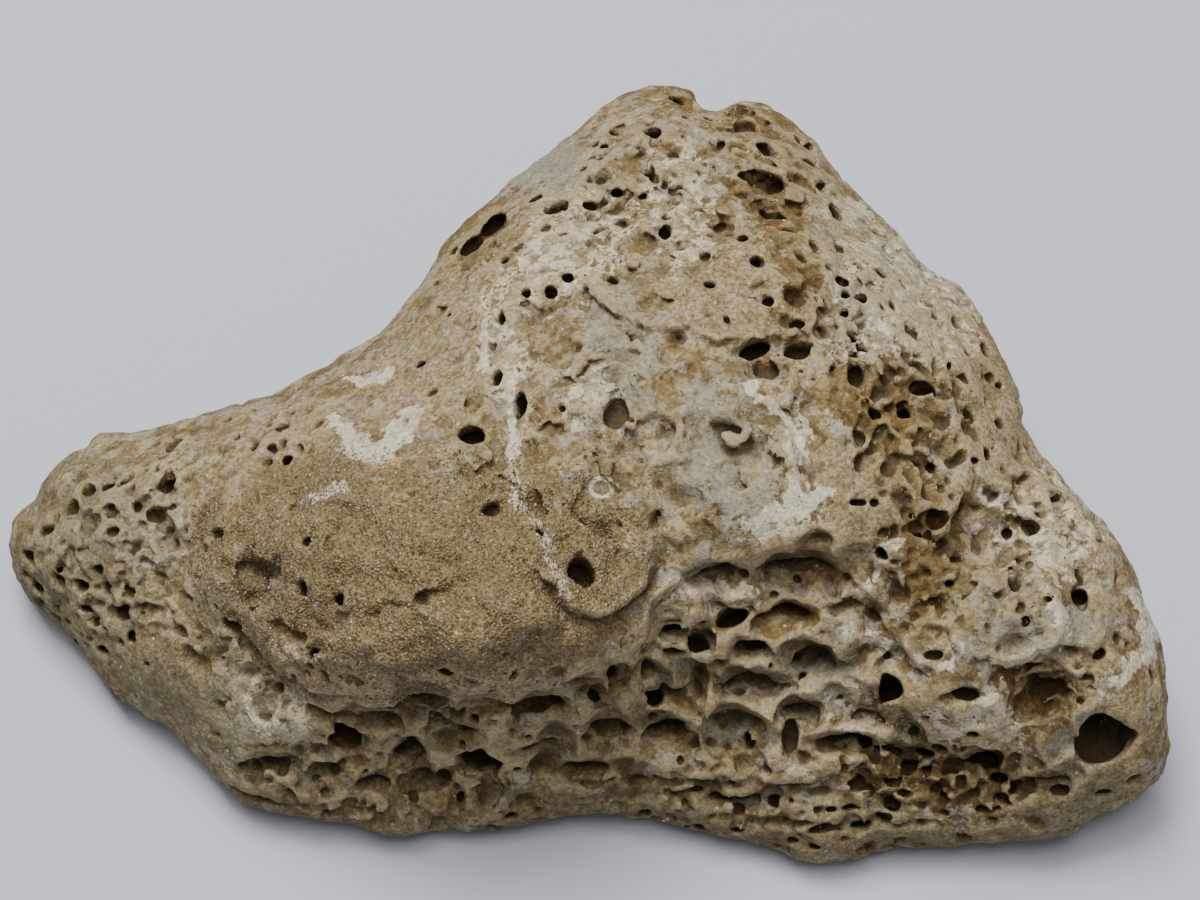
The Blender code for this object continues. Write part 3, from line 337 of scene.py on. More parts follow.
# White veins of shell: the line each follows, and its half width.
VEINS = [
    ([(-11.3, 12), (-11.5, 10), (-11, 8.2), (-9, 7), (-8.3, 5.5), (-8.4, 2), (-8.3, -2), (-8.4, -4.8),
      (-7, -6), (-5.5, -8.5), (-4.8, -10), (-4.2, -12), (-3.5, -14.5)], 0.35),
    ([(-26.5, 3), (-25.5, 1), (-23.5, -0.5), (-21.5, 0), (-19.5, 1.5), (-18.8, 4)], 0.6),
    ([(-25.5, 7.5), (-23, 6.7), (-21.5, 7.5)], 0.3),
    ([(-28, -5.2), (-25.5, -3.7)], 0.35),
    ([(14.8, -7.3), (18, -6.5), (20.5, -5.5), (22.5, -4.5)], 0.6),
    ([(20, 2), (19.5, -2), (19.5, -5)], 0.6),
    ([(15.5, 6.5), (17.5, 4.5), (20, 2)], 0.35),
    ([(45.5, -16), (46.2, -17.8), (45.8, -19.2), (42, -21), (39, -21.8), (38.5, -24), (40.5, -26.2)], 0.5),
    ([(25.5, -18.1), (28, -19), (32, -21)], 0.5),
    ([(55, -18), (55, -20), (53, -22), (50.5, -23.5)], 0.6),
    ([(35.3, -19), (36, -20), (34.5, -21)], 0.4),
    ([(25.7, -14.5), (28, -12.5), (29.5, -9.5)], 0.4),
    ([(38.5, -4.5), (42, -5.5), (44.5, -7.5)], 0.4),
    ([(53.5, -15), (54, -17)], 0.5),
]
# How high the veins stand, and how far their colour fades out, as a share of their width.
VEIN_HEIGHT = 0.14
VEIN_REACH = 1.4

# The small ring on the plate: across, up, its radius and its width.
RING = (0.2, -3.7, 1.0, 0.28)

# Scattered pores of the face, zone by zone: (across, up, half width, half height, tilt of the zone, count,
# smallest, largest, depth by size).
PORES = [
    (-49, -11, 9, 9.5, -20, 190, 0.18, 0.42, 1.8),      # the nose
    (-38, 1, 12, 4.5, 20, 80, 0.2, 0.45, 2),            # its upper edge
    (-33, -22, 8, 11, 20, 60, 0.18, 0.4, 1.8),          # the left slope
    (11, 28, 13, 9, -10, 170, 0.22, 0.6, 2.4),          # the back lobes
    (-4, 21, 9, 7, 30, 80, 0.2, 0.45, 2),
    (27, 13, 10, 11, -30, 170, 0.22, 0.6, 2.2),         # the upper right
    (31, 3, 7, 7, 0, 110, 0.25, 0.8, 2.2),              # the rusty hollow
    (33, -8, 5, 9, 0, 70, 0.22, 0.6, 2.2),
    (40, -2, 6, 12, 20, 80, 0.2, 0.5, 2),               # the right rim
    (2, 3, 16, 13, 0, 150, 0.14, 0.3, 2),               # the plates of the crown
    (46, -16, 11, 10, 0, 90, 0.18, 0.45, 2),            # the right shoulder
    (34.5, -32.5, 10.5, 3.2, -6, 150, 0.25, 0.85, 2),   # the porous band
    (5, -28.5, 29, 7, 0, 110, 0.2, 0.5, 1.8),           # the flank
    (18, -17, 12, 6, 0, 50, 0.18, 0.4, 1.8),
    (20, -37.5, 22, 2.8, 0, 70, 0.2, 0.5, 2),           # the lip
    (-20, -34.5, 16, 3, -8, 60, 0.2, 0.5, 2),
    (-17, -12, 19, 12, 5, 110, 0.14, 0.28, 1.8),        # the sandy mound
]

# Scattered small niches of the flank, as the pores: (..., depth by size).
SMALL_NICHES = [
    (3, -29, 30, 7, 0, 110, 0.9, 2.6, 1.1), (22, -17.5, 13, 8, 0, 45, 0.8, 2.2, 1),
    (-49, -12, 9, 9.5, -20, 60, 0.7, 1.6, 0.9), (-20, -34, 17, 3.5, -8, 70, 0.7, 1.8, 1.1),
    (44, -27, 8, 7, 0, 50, 0.8, 2.2, 0.7), (35, -32.5, 10, 3, 0, 60, 0.6, 1.6, 1.2),
]

# Scattered scallops: shallow hollows with sharp ridges between them.
SCALLOPS = [
    (-49, -11, 9, 9.5, -20, 110, 0.6, 1.3, 0.5),        # the nose
    (20, -37, 24, 3, 0, 60, 0.7, 1.6, 0.6),             # the lip
    (-22, -34, 17, 3.5, -8, 50, 0.8, 1.7, 0.6),
    (12, 29, 13, 8, 0, 80, 0.9, 2.2, 0.4),              # the back lobes
    (29, 10, 12, 13, -30, 100, 0.9, 2.2, 0.35),
    (2, 8, 20, 16, 0, 120, 1.2, 3, 0.22),               # the crown
    (42, -14, 13, 14, 0, 70, 1, 2.6, 0.3),
    (-34, -16, 9, 16, 20, 40, 1, 2.2, 0.4),
]

# Pores and hollows of the hidden sides: (count, smallest half width, largest, depth by size).
HIDDEN_PORES = [(110, 1.4, 3.4, 0.8), (420, 0.7, 1.6, 0.9), (1500, 0.22, 0.7, 2.0)]
# How far a point is from what is seen in its direction, for it to be hidden.
HIDDEN_BEYOND = 2.5
# The share of the hidden sides' triangles that is left out first.
HIDDEN_THINNING = 0.85
# How far below the face the mesh counts as hidden there.
HIDDEN_DEPTH = 7.0
# How far below the face a point's areas fade out, between these two.
AREAS_END = (-14.0, -9.0)
# A point inside the stone, and how far off rays start that are aimed at it.
INSIDE = np.array([0.0, -1.0, 15.0])
FAR_OFF = 90

# Unevenness of the body and of its surface: (spacing, height).
LUMPS = [(14.0, 0.55), (6.0, 0.45), (3.2, 0.3), (1.7, 0.17)]
GRAIN = [(0.9, 0.07), (0.55, 0.05)]
# How finely charts of the face, of its depth and of its relief are worked out.
FACE_STEP, DEPTH_STEP, RELIEF_STEP = 0.8, 0.5, 0.2
# The block of space around the stone, and the size of its cubes.
BLOCK_LOW, BLOCK_HIGH = np.array([-60.5, -42.5, -1.5]), np.array([60.5, 42.5, 41.0])
CUBE, QUICK_CUBE = 0.26, 0.5
# Heights just above and below the stone, between which the face is looked for.
ABOVE, BELOW = 44.0, -1.0

# Areas of the face by what they look like: (across, up, half width, half height, tilt).
AREAS = {
    "sand": [
        (-17, -12.5, 20, 11.5, 5), (-29, -6, 8, 5, 20), (-38.5, -10, 2.5, 5, 0), (-2, -12, 5, 4.5, 0),
    ],
    "tan": [
        (13, 15.5, 9.5, 4.6, -8), (-13, 16, 4.5, 5, 0), (28, -3, 6, 5.5, 0), (-16, 7, 6, 6, 0),
        (40, 3, 4, 9, 20), (-33, 0, 8, 4, 20), (22, -9, 7, 3.5, 0), (-1, -6, 5, 4, 0), (48, -22, 6, 5, 0),
        (-42, -16, 4, 7, 20),
    ],
    # dark olive of the lower edges, the lip and the nose's underside: partly their colour, partly painted
    # shade
    "olive_and_shade": [
        (-51, -16, 8, 6, -35), (-42, -24, 8, 3.5, -35), (-28, -34.5, 12, 3, -8), (20, -38, 26, 2.6, 0),
        (48, -35, 8, 3, 20), (-55, -9, 4, 4, 0), (0, -34.5, 12, 2, 0), (-36, -16, 5, 6, 0),
        (-51, -6, 6, 5, 0),
    ],
    "white": [
        (-5, 19.5, 7.5, 4.5, 25), (30, 15, 6.5, 7, -20), (8, 24.5, 3.5, 5.5, 0), (20.4, -1, 1.3, 4.6, 0),
        (17, -8, 3.6, 0.9, 15), (-22.5, 0.8, 3.6, 1.1, 10), (12, -14.5, 6, 2, -10), (45, -8, 4.5, 6, 0),
        (-33, -25.5, 4, 4, 0), (34, 12, 3.5, 6, -30), (24, 24, 2.6, 1.4, 0), (-9, 8, 1.6, 7, 10),
        (26, -26.5, 5, 2, -20), (38, -28, 5, 2.5, 0), (-1, 5, 2.4, 3.5, 0), (-34.5, -14, 2.6, 2.2, 0),
        (42, -9.5, 3, 1.5, -30),
    ],
    "rust": [
        (30.5, 4.5, 6, 5, 0), (32.5, -9.5, 4.2, 7.5, 0), (19.7, 17.5, 2.6, 3.6, 0), (17, 25.5, 4.5, 4, 0),
        (-11.5, 21.5, 4.5, 3.5, 40), (16, 32.5, 4.5, 3, -10), (18.8, -17, 3.6, 2.6, 0),
        (44.5, -25, 4.2, 3.4, 20), (29.3, -24.4, 1.8, 2.4, 0), (35, -32.8, 10, 3, -6),
        (-25.3, -29.5, 1.4, 1.4, 0), (8, 35, 2.5, 1.5, 0),
    ],
    "grey": [
        (2, 9, 4, 6.5, 0), (12.5, -1, 5, 6, 0), (8.5, -13.5, 5.5, 2.5, 15), (-5, 28, 5, 4, 35),
        (22, -23.5, 6, 3, -10), (44, -18, 6, 3, 0), (48, -30, 3, 4, 0), (-35, -26, 4, 5, 0),
        (-47, -8, 6, 4, 0), (28, 15, 5, 6, -20),
    ],
}

# Grains of the sandy crust: how many, the range of their half sizes, how far each is sunk, as a share of the
# smallest, and the corners of each face.
GRAINS = 15000
GRAIN_SIZES = (0.12, 0.2)
SUNK = 0.3
OCTAHEDRON = [(0, 1, 2), (1, 3, 2), (3, 4, 2), (4, 0, 2), (1, 0, 5), (3, 1, 5), (4, 3, 5), (0, 4, 5)]

# How many triangles the stone is thinned to.
TRIANGLES = 195000
# How much of the sighting plane the camera takes in, across, and the width of its sensor.
VIEW_WIDTH = 120.0
SENSOR_WIDTH = 36.0
# In metres: how far the floor reaches, and the height that the lights are aimed at.
FLOOR_REACH = 3
LIT_HEIGHT = 0.02


# ---------------------------------------------------------------- curves, sheets and noise


def closed_curve(points, steps):
    """A smooth closed curve through the points, with this many steps between neighbours."""
    p = np.array(points, float)
    before, after, beyond = np.roll(p, 1, 0), np.roll(p, -1, 0), np.roll(p, -2, 0)
    made = []
    for k in range(steps):
        t = k / steps
        made.append(
            0.5 * (2 * p + (after - before) * t + (2 * before - 5 * p + 4 * after - beyond) * t**2
                   + (3 * p - before - 3 * after + beyond) * t**3)
        )
    return np.stack(made, 1).reshape(-1, 2)


def depth_inside(points, loop):
    """Distance of each point to the closed loop, positive inside it, and the number of the nearest side."""
    start, end = loop, np.roll(loop, -1, 0)
    side = end - start
    from_start = points[:, None] - start
    share = np.clip((from_start * side).sum(-1) / (side**2).sum(-1), 0, 1)
    gap = np.sqrt(((from_start - share[..., None] * side) ** 2).sum(-1))
    x, y = points[:, 0, None], points[:, 1, None]
    spans = (start[:, 1] > y) != (end[:, 1] > y)
    rise = np.where(side[:, 1] == 0, 1e-12, side[:, 1])
    crossed = spans & (x < start[:, 0] + (y - start[:, 1]) * side[:, 0] / rise)
    inside = crossed.sum(1) % 2 == 1
    return np.where(inside, 1, -1) * gap.min(1), gap.argmin(1)


def line_distance(points, line):
    """Distance of each point to an open line, and which side it is on: positive on the line's right."""
    line = np.array(line, float)
    start, side = line[:-1], np.diff(line, axis=0)
    from_start = points[:, None] - start
    share = np.clip((from_start * side).sum(-1) / (side**2).sum(-1), 0, 1)
    gap = np.sqrt(((from_start - share[..., None] * side) ** 2).sum(-1))
    nearest = gap.argmin(1)
    rows = np.arange(len(points))
    off = from_start[rows, nearest]
    right = np.sign(off[:, 0] * side[nearest, 1] - off[:, 1] * side[nearest, 0])
    return gap[rows, nearest], right


class SmoothSheet:
    """The smooth sheet of least bending through given heights (a thin-plate spline)."""

    def __init__(self, rows):
        rows = np.array(rows, float)
        self.places = rows[:, :2]
        count = len(rows)
        flat = np.c_[np.ones(count), self.places]
        system = np.zeros((count + 3, count + 3))
        system[:count, :count] = self.bend(self.places)
        system[:count, count:] = flat
        system[count:, :count] = flat.T
        self.weights = np.linalg.solve(system, np.r_[rows[:, 2], 0, 0, 0])

    def bend(self, points):
        square = ((points[:, None] - self.places) ** 2).sum(-1)
        return square * np.log(square + 1e-9)

    def at(self, points):
        return self.bend(points) @ self.weights[:-3] + np.c_[np.ones(len(points)), points] @ self.weights[-3:]


def in_parts(function, points, size=6000):
    """The function of many points, worked out a part at a time."""
    return np.concatenate([function(points[k : k + size]) for k in range(0, len(points), size)])


def smooth_max(a, b, width):
    """The larger of two, rounded off where they are within this width of each other."""
    share = np.clip(0.5 + 0.5 * (a - b) / width, 0, 1)
    return a * share + b * (1 - share) + width * share * (1 - share)


def round_max(a, b, radius):
    """The larger of two distances, with the edge between them rounded to this radius."""
    return np.hypot(np.maximum(a + radius, 0), np.maximum(b + radius, 0)) - radius + np.minimum(
        np.maximum(a, b) + radius, 0
    )


def smooth_step(value, low, high):
    t = np.clip((value - low) / (high - low), 0, 1)
    return t * t * (3 - 2 * t)


def sighted(points):
    """Where points of space are seen on the sighting plane."""
    from_middle = points - MIDDLE
    scale = SIGHT_DISTANCE / (SIGHT_DISTANCE - from_middle @ TOWARD)
    return np.c_[from_middle @ RIGHT, from_middle @ UP] * scale[:, None]


def at_height(places, heights):
    """The points of space seen at these places of the sighting plane that lie this high above the ground."""
    on_plane = MIDDLE + places[:, :1] * RIGHT + places[:, 1:2] * UP
    ray = on_plane - EYE
    return EYE + ray * ((heights - EYE[2]) / ray[:, 2])[:, None]


# ---------------------------------------------------------------- the body


class Chart:
    """Values over a plane, worked out at even spacing and read between in straight lines."""

    LOW, HIGH = np.array([-66.0, -50.0]), np.array([66.0, 50.0])

    def __init__(self, function, step):
        self.step = step
        axes = [np.arange(a, b, step) for a, b in zip(self.LOW, self.HIGH)]
        places = np.stack(np.meshgrid(*axes, indexing="ij"), -1)
        values = in_parts(function, places.reshape(-1, 2))
        self.values = values.reshape(places.shape[:2]).astype(np.float32)

    def at(self, places):
        at = (places - self.LOW) / self.step
        low = np.clip(at.astype(int), 0, np.array(self.values.shape) - 2)
        share = np.clip(at - low, 0, 1)
        i, j = low.T
        x, y = share.T
        v = self.values
        return (v[i, j] * (1 - x) * (1 - y) + v[i + 1, j] * x * (1 - y) + v[i, j + 1] * (1 - x) * y
                + v[i + 1, j + 1] * x * y)


class Body:
    """The stone before it was bored: a face seen from the sighting point, above an undercut underside."""

    def __init__(self):
        outline = closed_curve(OUTLINE, OUTLINE_STEPS)
        sheet = SmoothSheet(FACE_HEIGHTS)
        heights = np.maximum(sheet.at(outline) - self.edge_round(outline), LOWEST_EDGE)
        edge_heights = np.mean([np.roll(heights, k) for k in range(-EDGE_EVENED, EDGE_EVENED + 1)], axis=0)
        plan = at_height(outline, edge_heights)[:, :2]
        self.sheet = Chart(sheet.at, FACE_STEP)
        self.depth = Chart(lambda places: depth_inside(places, outline)[0], DEPTH_STEP)
        self.plan_depth = Chart(lambda places: depth_inside(places, plan)[0], DEPTH_STEP)
        self.edge = Chart(lambda places: edge_heights[depth_inside(places, plan)[1]], FACE_STEP)

    def edge_round(self, places):
        """The radius to which the face turns away at the outline: smaller at the foot of the flank."""
        return np.interp(places[:, 1], EDGE_ROUND_UP, EDGE_ROUND)

    def underside(self, points):
        """Distance outside the underside, which curves in from the edge to just below the ground."""
        edge = self.edge.at(points[:, :2]) + BASE_SPARE
        across = np.maximum((UNDERCUT - OUTSET - self.plan_depth.at(points[:, :2])) / UNDERCUT, 0)
        down = np.maximum((edge - BASE_SPARE - points[:, 2]) / edge, 0)
        near = np.hypot(across, down)
        steep = np.hypot(across / UNDERCUT, down / edge) + 1e-9
        size = np.where(near > 0.01, near / steep, np.minimum(edge, UNDERCUT))
        return np.maximum((near - 1) * size, -BASE_SPARE - points[:, 2])

    def face(self, points):
        """Roughly the distance outside the face, which turns away at the outline."""
        places = sighted(points)
        beyond = -OUTSET - self.depth.at(places)
        return round_max(points[:, 2] - self.sheet.at(places), beyond, self.edge_round(places))

    def unevenness(self, points):
        """How far the body may be uneven: less at its outline, which is known."""
        return 0.2 + 0.8 * smooth_step(np.abs(self.depth.at(sighted(points))), 1.0, 9.0)


# ---------------------------------------------------------------- the block of space


def hat_weights(places, spacing, count):
    """Weights that spread values at even spacing to these places in straight lines."""
    at = places / spacing
    low = np.minimum(at.astype(int), count - 2)
    share = at - low
    weights = np.zeros((len(places), count), np.float32)
    rows = np.arange(len(places))
    weights[rows, low] = 1 - share
    weights[rows, low + 1] = share
    return weights


def spline_weights(places, spacing, count):
    """Weights that spread values at even spacing to these places in smooth curves."""
    at = places / spacing
    low = at.astype(int)
    t = at - low
    weights = np.zeros((len(places), count), np.float32)
    rows = np.arange(len(places))
    bases = ((1 - t) ** 3, 3 * t**3 - 6 * t**2 + 4, -3 * t**3 + 3 * t**2 + 3 * t + 1, t**3)
    for k, base in enumerate(bases):
        weights[rows, low + k] = base / 6
    return weights


def spread(lattice, weights):
    """A lattice of values spread over a finer block, one axis at a time."""
    made = np.einsum("xi,ijk->xjk", weights[0], lattice, optimize=True)
    made = np.einsum("yj,xjk->xyk", weights[1], made, optimize=True)
    shape = made.shape[:2]
    return (made.reshape(-1, made.shape[2]) @ weights[2].T).reshape(*shape, -1)


class Block:
    """A block of space cut into cubes, with a distance at each corner: negative inside the stone."""

    def __init__(self, low, high, step):
        self.low, self.step = np.array(low, float), step
        self.shape = tuple(int(n) for n in np.ceil((np.array(high) - low) / step) + 1)
        self.places = [step * np.arange(n) for n in self.shape]
        self.field = None

    def values_of(self, function, spacing):
        """The function over the block, worked out at this spacing."""
        counts = [int(math.ceil(p[-1] / spacing)) + 1 for p in self.places]
        corners = np.stack(np.meshgrid(*(spacing * np.arange(n) for n in counts), indexing="ij"), -1)
        values = in_parts(function, corners.reshape(-1, 3) + self.low).reshape(counts).astype(np.float32)
        return spread(values, [hat_weights(p, spacing, n) for p, n in zip(self.places, counts)])

    def noise(self, spacing, seed):
        """Smooth noise over the block, with a spread of about 1."""
        counts = [int(p[-1] / spacing) + 4 for p in self.places]
        lattice = np.random.default_rng(seed).normal(size=counts).astype(np.float32) / 0.33
        return spread(lattice, [spline_weights(p, spacing, n) for p, n in zip(self.places, counts)])

    def sample(self, values, points):
        """Values of the block at points of space."""
        at = (points - self.low) / self.step
        low = np.clip(at.astype(int), 0, np.array(self.shape) - 2)
        share = np.clip(at - low, 0, 1)
        total = 0
        for corner in np.ndindex(2, 2, 2):
            weight = np.prod(np.where(corner, share, 1 - share), axis=1)
            i, j, k = (low + corner).T
            total = total + weight * values[i, j, k]
        return total

    def slope(self, points, reach):
        """The outward normals of the field around points."""
        ahead, behind = (
            np.stack([self.sample(self.field, points + sign * reach * axis) for axis in np.eye(3)], axis=1)
            for sign in (1, -1)
        )
        made = ahead - behind
        return made / (np.linalg.norm(made, axis=1)[:, None] + 1e-9)

    def first_surface(self, starts, directions, reach, step=0.4):
        """Where rays first come in through the surface. Rays that miss give points that aren't numbers."""
        distances = np.arange(0, reach, step)
        points = np.full(starts.shape, np.nan)
        before = np.ones(len(starts))
        found = np.zeros(len(starts), bool)
        for distance in distances:
            now = self.sample(self.field, starts + directions * distance)
            hit = (now < 0) & ~found
            back = step * now[hit] / (now[hit] - before[hit])
            points[hit] = starts[hit] + directions[hit] * (distance - back)[:, None]
            found |= hit
            before = now
        return points

    def on_face(self, places):
        """The points of the surface that are seen at these places of the sighting plane."""
        top, bottom = (at_height(places, np.full(len(places), z)) for z in (ABOVE, BELOW))
        reach = np.linalg.norm(bottom - top, axis=1)
        return self.first_surface(top, (bottom - top) / reach[:, None], reach.max())

    def band(self, inside, outside):
        """The corners near the surface on either side of it, as numbers and as points of space."""
        chosen = np.flatnonzero((self.field.ravel() > -inside) & (self.field.ravel() < outside))
        corners = np.stack(np.unravel_index(chosen, self.shape), -1)
        return chosen, corners * self.step + self.low


# ---------------------------------------------------------------- carving


def frame_along(axis, tilt):
    """Axes with Z along the axis and X along the sighting plane's right, turned by the tilt."""
    z = axis / np.linalg.norm(axis)
    across = RIGHT if abs(z @ RIGHT) < 0.9 else UP
    x = across - z * (across @ z)
    x /= np.linalg.norm(x)
    y = np.cross(z, x)
    c, s = math.cos(math.radians(tilt)), math.sin(math.radians(tilt))
    return np.stack([c * x + s * y, c * y - s * x, z], axis=1)


def carve(block, warps, point, frame, radii, roughness=0.3):
    """Takes out an uneven ellipsoid. One that is deeper than it is wide is a bore with a rounded end."""
    width, height, depth = radii
    cap = min(depth, (width + height) / 2)
    straight = depth - cap
    reach = max(radii) + 0.8
    low = np.maximum(((point - reach - block.low) / block.step).astype(int), 0)
    high = np.minimum(((point + reach - block.low) / block.step).astype(int) + 2, block.shape)
    if (high <= low).any():
        return
    part = tuple(slice(a, b) for a, b in zip(low, high))
    axes = [block.places[k][part[k]] + block.low[k] - point[k] for k in range(3)]
    corners = np.stack(np.meshgrid(*axes, indexing="ij"), -1)
    bend = min(roughness * min(width, height), 0.5)
    for k in range(3):
        corners[..., k] += bend * warps[k][part]
    local = corners @ frame
    local[..., 2] = np.sign(local[..., 2]) * np.maximum(np.abs(local[..., 2]) - straight, 0)
    scaled = local / (width, height, cap)
    near = np.sqrt((scaled**2).sum(-1))
    steep = np.sqrt(((scaled / (width, height, cap)) ** 2).sum(-1)) + 1e-6
    gap = near * (near - 1) / steep
    rim = min(0.35, 0.35 * min(width, height))
    block.field[part] = smooth_max(block.field[part], -gap, rim)


def carve_rows(block, warps, rows, random, level=False, lean=0.12, roughness=0.3, opening=0.0):
    """Carves rows of (across, up, half width, half height, tilt, depth) where the face is seen there."""
    rows = np.array(rows, float) + (0, 0, opening, opening, 0, 0)
    points = block.on_face(rows[:, :2])
    normals = block.slope(np.nan_to_num(points), 1.2)
    for row, point, normal in zip(rows, points, normals):
        if np.isnan(point).any():
            continue
        axis = normal * (1, 1, 0) + (0, 0, ALCOVE_RISE) if level else normal + TOWARD * (row[5] > row[2])
        axis = axis / np.linalg.norm(axis) + random.normal(0, lean, 3)
        depth = min(row[5], THIN * point[2])
        carve(block, warps, point, frame_along(axis, row[4]), (row[2], row[3], depth), roughness)


def groove_rows(random):
    """Each groove is a row of hollows that run into each other."""
    rows = []
    for line, half_width, depth in GROOVES:
        line = np.array(line)
        lengths = np.r_[0, np.cumsum(np.linalg.norm(np.diff(line, axis=0), axis=1))]
        for at in np.arange(0, lengths[-1], GROOVE_STEP):
            across, up = (np.interp(at, lengths, line[:, k]) for k in range(2))
            size = random.uniform(0.7, 1.3)
            tilt = random.uniform(-20, 20)
            rows.append((across, up, GROOVE_STEP * 0.85 * size, half_width * size, tilt, depth * size))
    return rows


def arch_rows():
    """A hollow that runs in level under the arched top of each alcove."""
    for across, up, half_width, half_height, depth in ALCOVES:
        yield across, up + 0.5 * half_height, 0.72 * half_width, 0.42 * half_height, 0, 0.55 * depth


def along_axes(places, across, up, half_width, half_height, tilt):
    """Places along an ellipse's two axes from its middle, as shares of its half width and half height."""
    c, s = math.cos(math.radians(tilt)), math.sin(math.radians(tilt))
    x, y = places[:, 0] - across, places[:, 1] - up
    return (c * x + s * y) / half_width, (c * y - s * x) / half_height


def in_ellipse(places, *ellipse):
    """How far places are from the middle of an ellipse, as a share of its size."""
    return np.hypot(*along_axes(places, *ellipse))


def pore_rows(zones, random):
    """Scattered pores of the face, zone by zone."""
    rows = []
    for across, up, half_width, half_height, tilt, count, small, large, deep in zones:
        radius = np.sqrt(random.uniform(0, 1, count))
        turn = random.uniform(0, 2 * math.pi, count)
        c, s = math.cos(math.radians(tilt)), math.sin(math.radians(tilt))
        x, y = half_width * radius * np.cos(turn), half_height * radius * np.sin(turn)
        size = small * (large / small) ** (random.uniform(0, 1, count) ** 1.6)
        rows.append(
            np.stack(
                [
                    across + c * x - s * y,
                    up + s * x + c * y,
                    size,
                    size * random.uniform(0.55, 1.0, count),
                    random.uniform(-60, 60, count),
                    size * deep * random.uniform(0.6, 1.4, count),
                ],
                axis=1,
            )
        )
    return np.concatenate(rows)


def carve_hidden(block, warps, random):
    """Hollows and pores where the sighting point doesn't see: the back, the sides and the underside."""
    for count, small, large, deep in HIDDEN_PORES:
        outward = random.normal(size=(count, 3)) * (1.4, 1.0, 0.45)
        outward /= np.linalg.norm(outward, axis=1)[:, None]
        points = block.first_surface(INSIDE + FAR_OFF * outward, -outward, FAR_OFF)
        sizes = small * (large / small) ** (random.uniform(0, 1, count) ** 1.5)
        flat = random.uniform(0.5, 1.0, count)
        tilts = random.uniform(0, 180, count)
        known = ~np.isnan(points).any(1)
        points = np.nan_to_num(points)
        seen = np.linalg.norm(block.on_face(sighted(points)) - points, axis=1) < HIDDEN_BEYOND
        normals = block.slope(points, 1.0)
        for k in np.flatnonzero(known & ~seen & (normals[:, 2] > -0.95)):
            radii = (sizes[k], sizes[k] * flat[k], sizes[k] * deep)
            carve(block, warps, points[k], frame_along(normals[k], tilts[k]), radii)


# ---------------------------------------------------------------- low relief of the face


def niche(places, *row):
    """How deep a niche is: it drops at its arched top, and its floor rises to its foot."""
    *ellipse, depth = row
    x, y = along_axes(places, *ellipse)
    bowl = np.sqrt(np.clip(1 - (x**2 + y**2) ** 1.5, 0, 1))
    return depth * bowl * (0.1 + 0.9 * np.clip((y + 1) / 2, 0, 1))


def under_arch(places, *row):
    """How far a place is under the arched top of a niche, where shadow and dirt are painted: 1 at the arch.
    """
    *ellipse, depth = row
    x, y = along_axes(places, *ellipse)
    inside = smooth_step(1.06 - np.hypot(x, y), 0, 0.12)
    return inside * smooth_step(y - 0.25 * x**2, -0.1, 0.75) * min(depth / 3, 1)


def most(function, places, niches):
    """The largest value that any niche gives at each place."""
    values = np.zeros(len(places))
    for row in niches:
        near = np.abs(places - row[:2]).max(1) < 1.5 * max(row[2:4])
        if near.any():
            values[near] = np.maximum(values[near], function(places[near], *row))
    return values


def relief(places, body, niches):
    """Low forms of the face: how far the surface is raised at places of the sighting plane."""
    heights = np.zeros(len(places))
    for line, drop, reach in STEPS:
        gap, side = line_distance(places, line)
        right = smooth_step(gap * side, -0.35, 0.35)
        heights += drop * (0.3 - 1.3 * right) * (1 - smooth_step(gap, 0, reach))
    for *ellipse, depth in DISHES:
        far = in_ellipse(places, *ellipse)
        heights -= DISH_DEPTH * depth * smooth_step(1 - far, 0, 0.4)
    for line, width in VEINS:
        gap = line_distance(places, line)[0]
        heights += VEIN_HEIGHT * (1 - smooth_step(gap, 0.3 * width, 1.2 * width))
    thick = smooth_step(body.depth.at(places), 0.5, NICHE_EDGE)
    thick = thick * smooth_step(body.sheet.at(places), *NICHE_HEIGHTS)
    return heights - NICHE_DEPTH * most(niche, places, niches) * thick


# ---------------------------------------------------------------- from the block to a mesh

CORNERS = list(np.ndindex(2, 2, 2))
CELL_EDGES = [
    (a, b) for a in CORNERS for b in CORNERS if sum(b) - sum(a) == 1 and all(x <= y for x, y in zip(a, b))
]


def surface_net(block):
    """A mesh through the block's zero level: one point in each cell that the surface crosses."""
    field = block.field
    inside = field < 0
    cells_shape = tuple(n - 1 for n in field.shape)
    count = np.zeros(cells_shape, np.uint8)
    for i, j, k in CORNERS:
        count += inside[i : i + cells_shape[0], j : j + cells_shape[1], k : k + cells_shape[2]]
    cells = np.argwhere((count > 0) & (count < 8))
    number = np.full(cells_shape, -1, np.int32)
    number[tuple(cells.T)] = np.arange(len(cells))
    total, hits = np.zeros((len(cells), 3)), np.zeros(len(cells))
    for a, b in CELL_EDGES:
        at_a, at_b = field[tuple((cells + a).T)], field[tuple((cells + b).T)]
        crossed = (at_a < 0) != (at_b < 0)
        share = at_a[crossed] / (at_a[crossed] - at_b[crossed])
        total[crossed] += np.array(a) + np.outer(share, np.subtract(b, a))
        hits[crossed] += 1
    points = (cells + total / hits[:, None]) * block.step + block.low
    quads = []
    for axis in range(3):
        here = np.moveaxis(inside, axis, 0)
        crossings = np.argwhere(here[1:] != here[:-1])
        crossings = crossings[(crossings[:, 1:] > 0).all(1)]
        inward = here[1:][tuple(crossings.T)]
        turned = np.moveaxis(number, axis, 0)
        i, j, k = crossings.T
        around = [turned[i, j, k], turned[i, j - 1, k], turned[i, j - 1, k - 1], turned[i, j, k - 1]]
        around = np.stack(around, 1)
        if axis == 1:
            inward = ~inward
        quads.append(np.where(inward[:, None], around[:, ::-1], around))
    quads = np.concatenate(quads)
    return points, quads[(quads >= 0).all(1)]


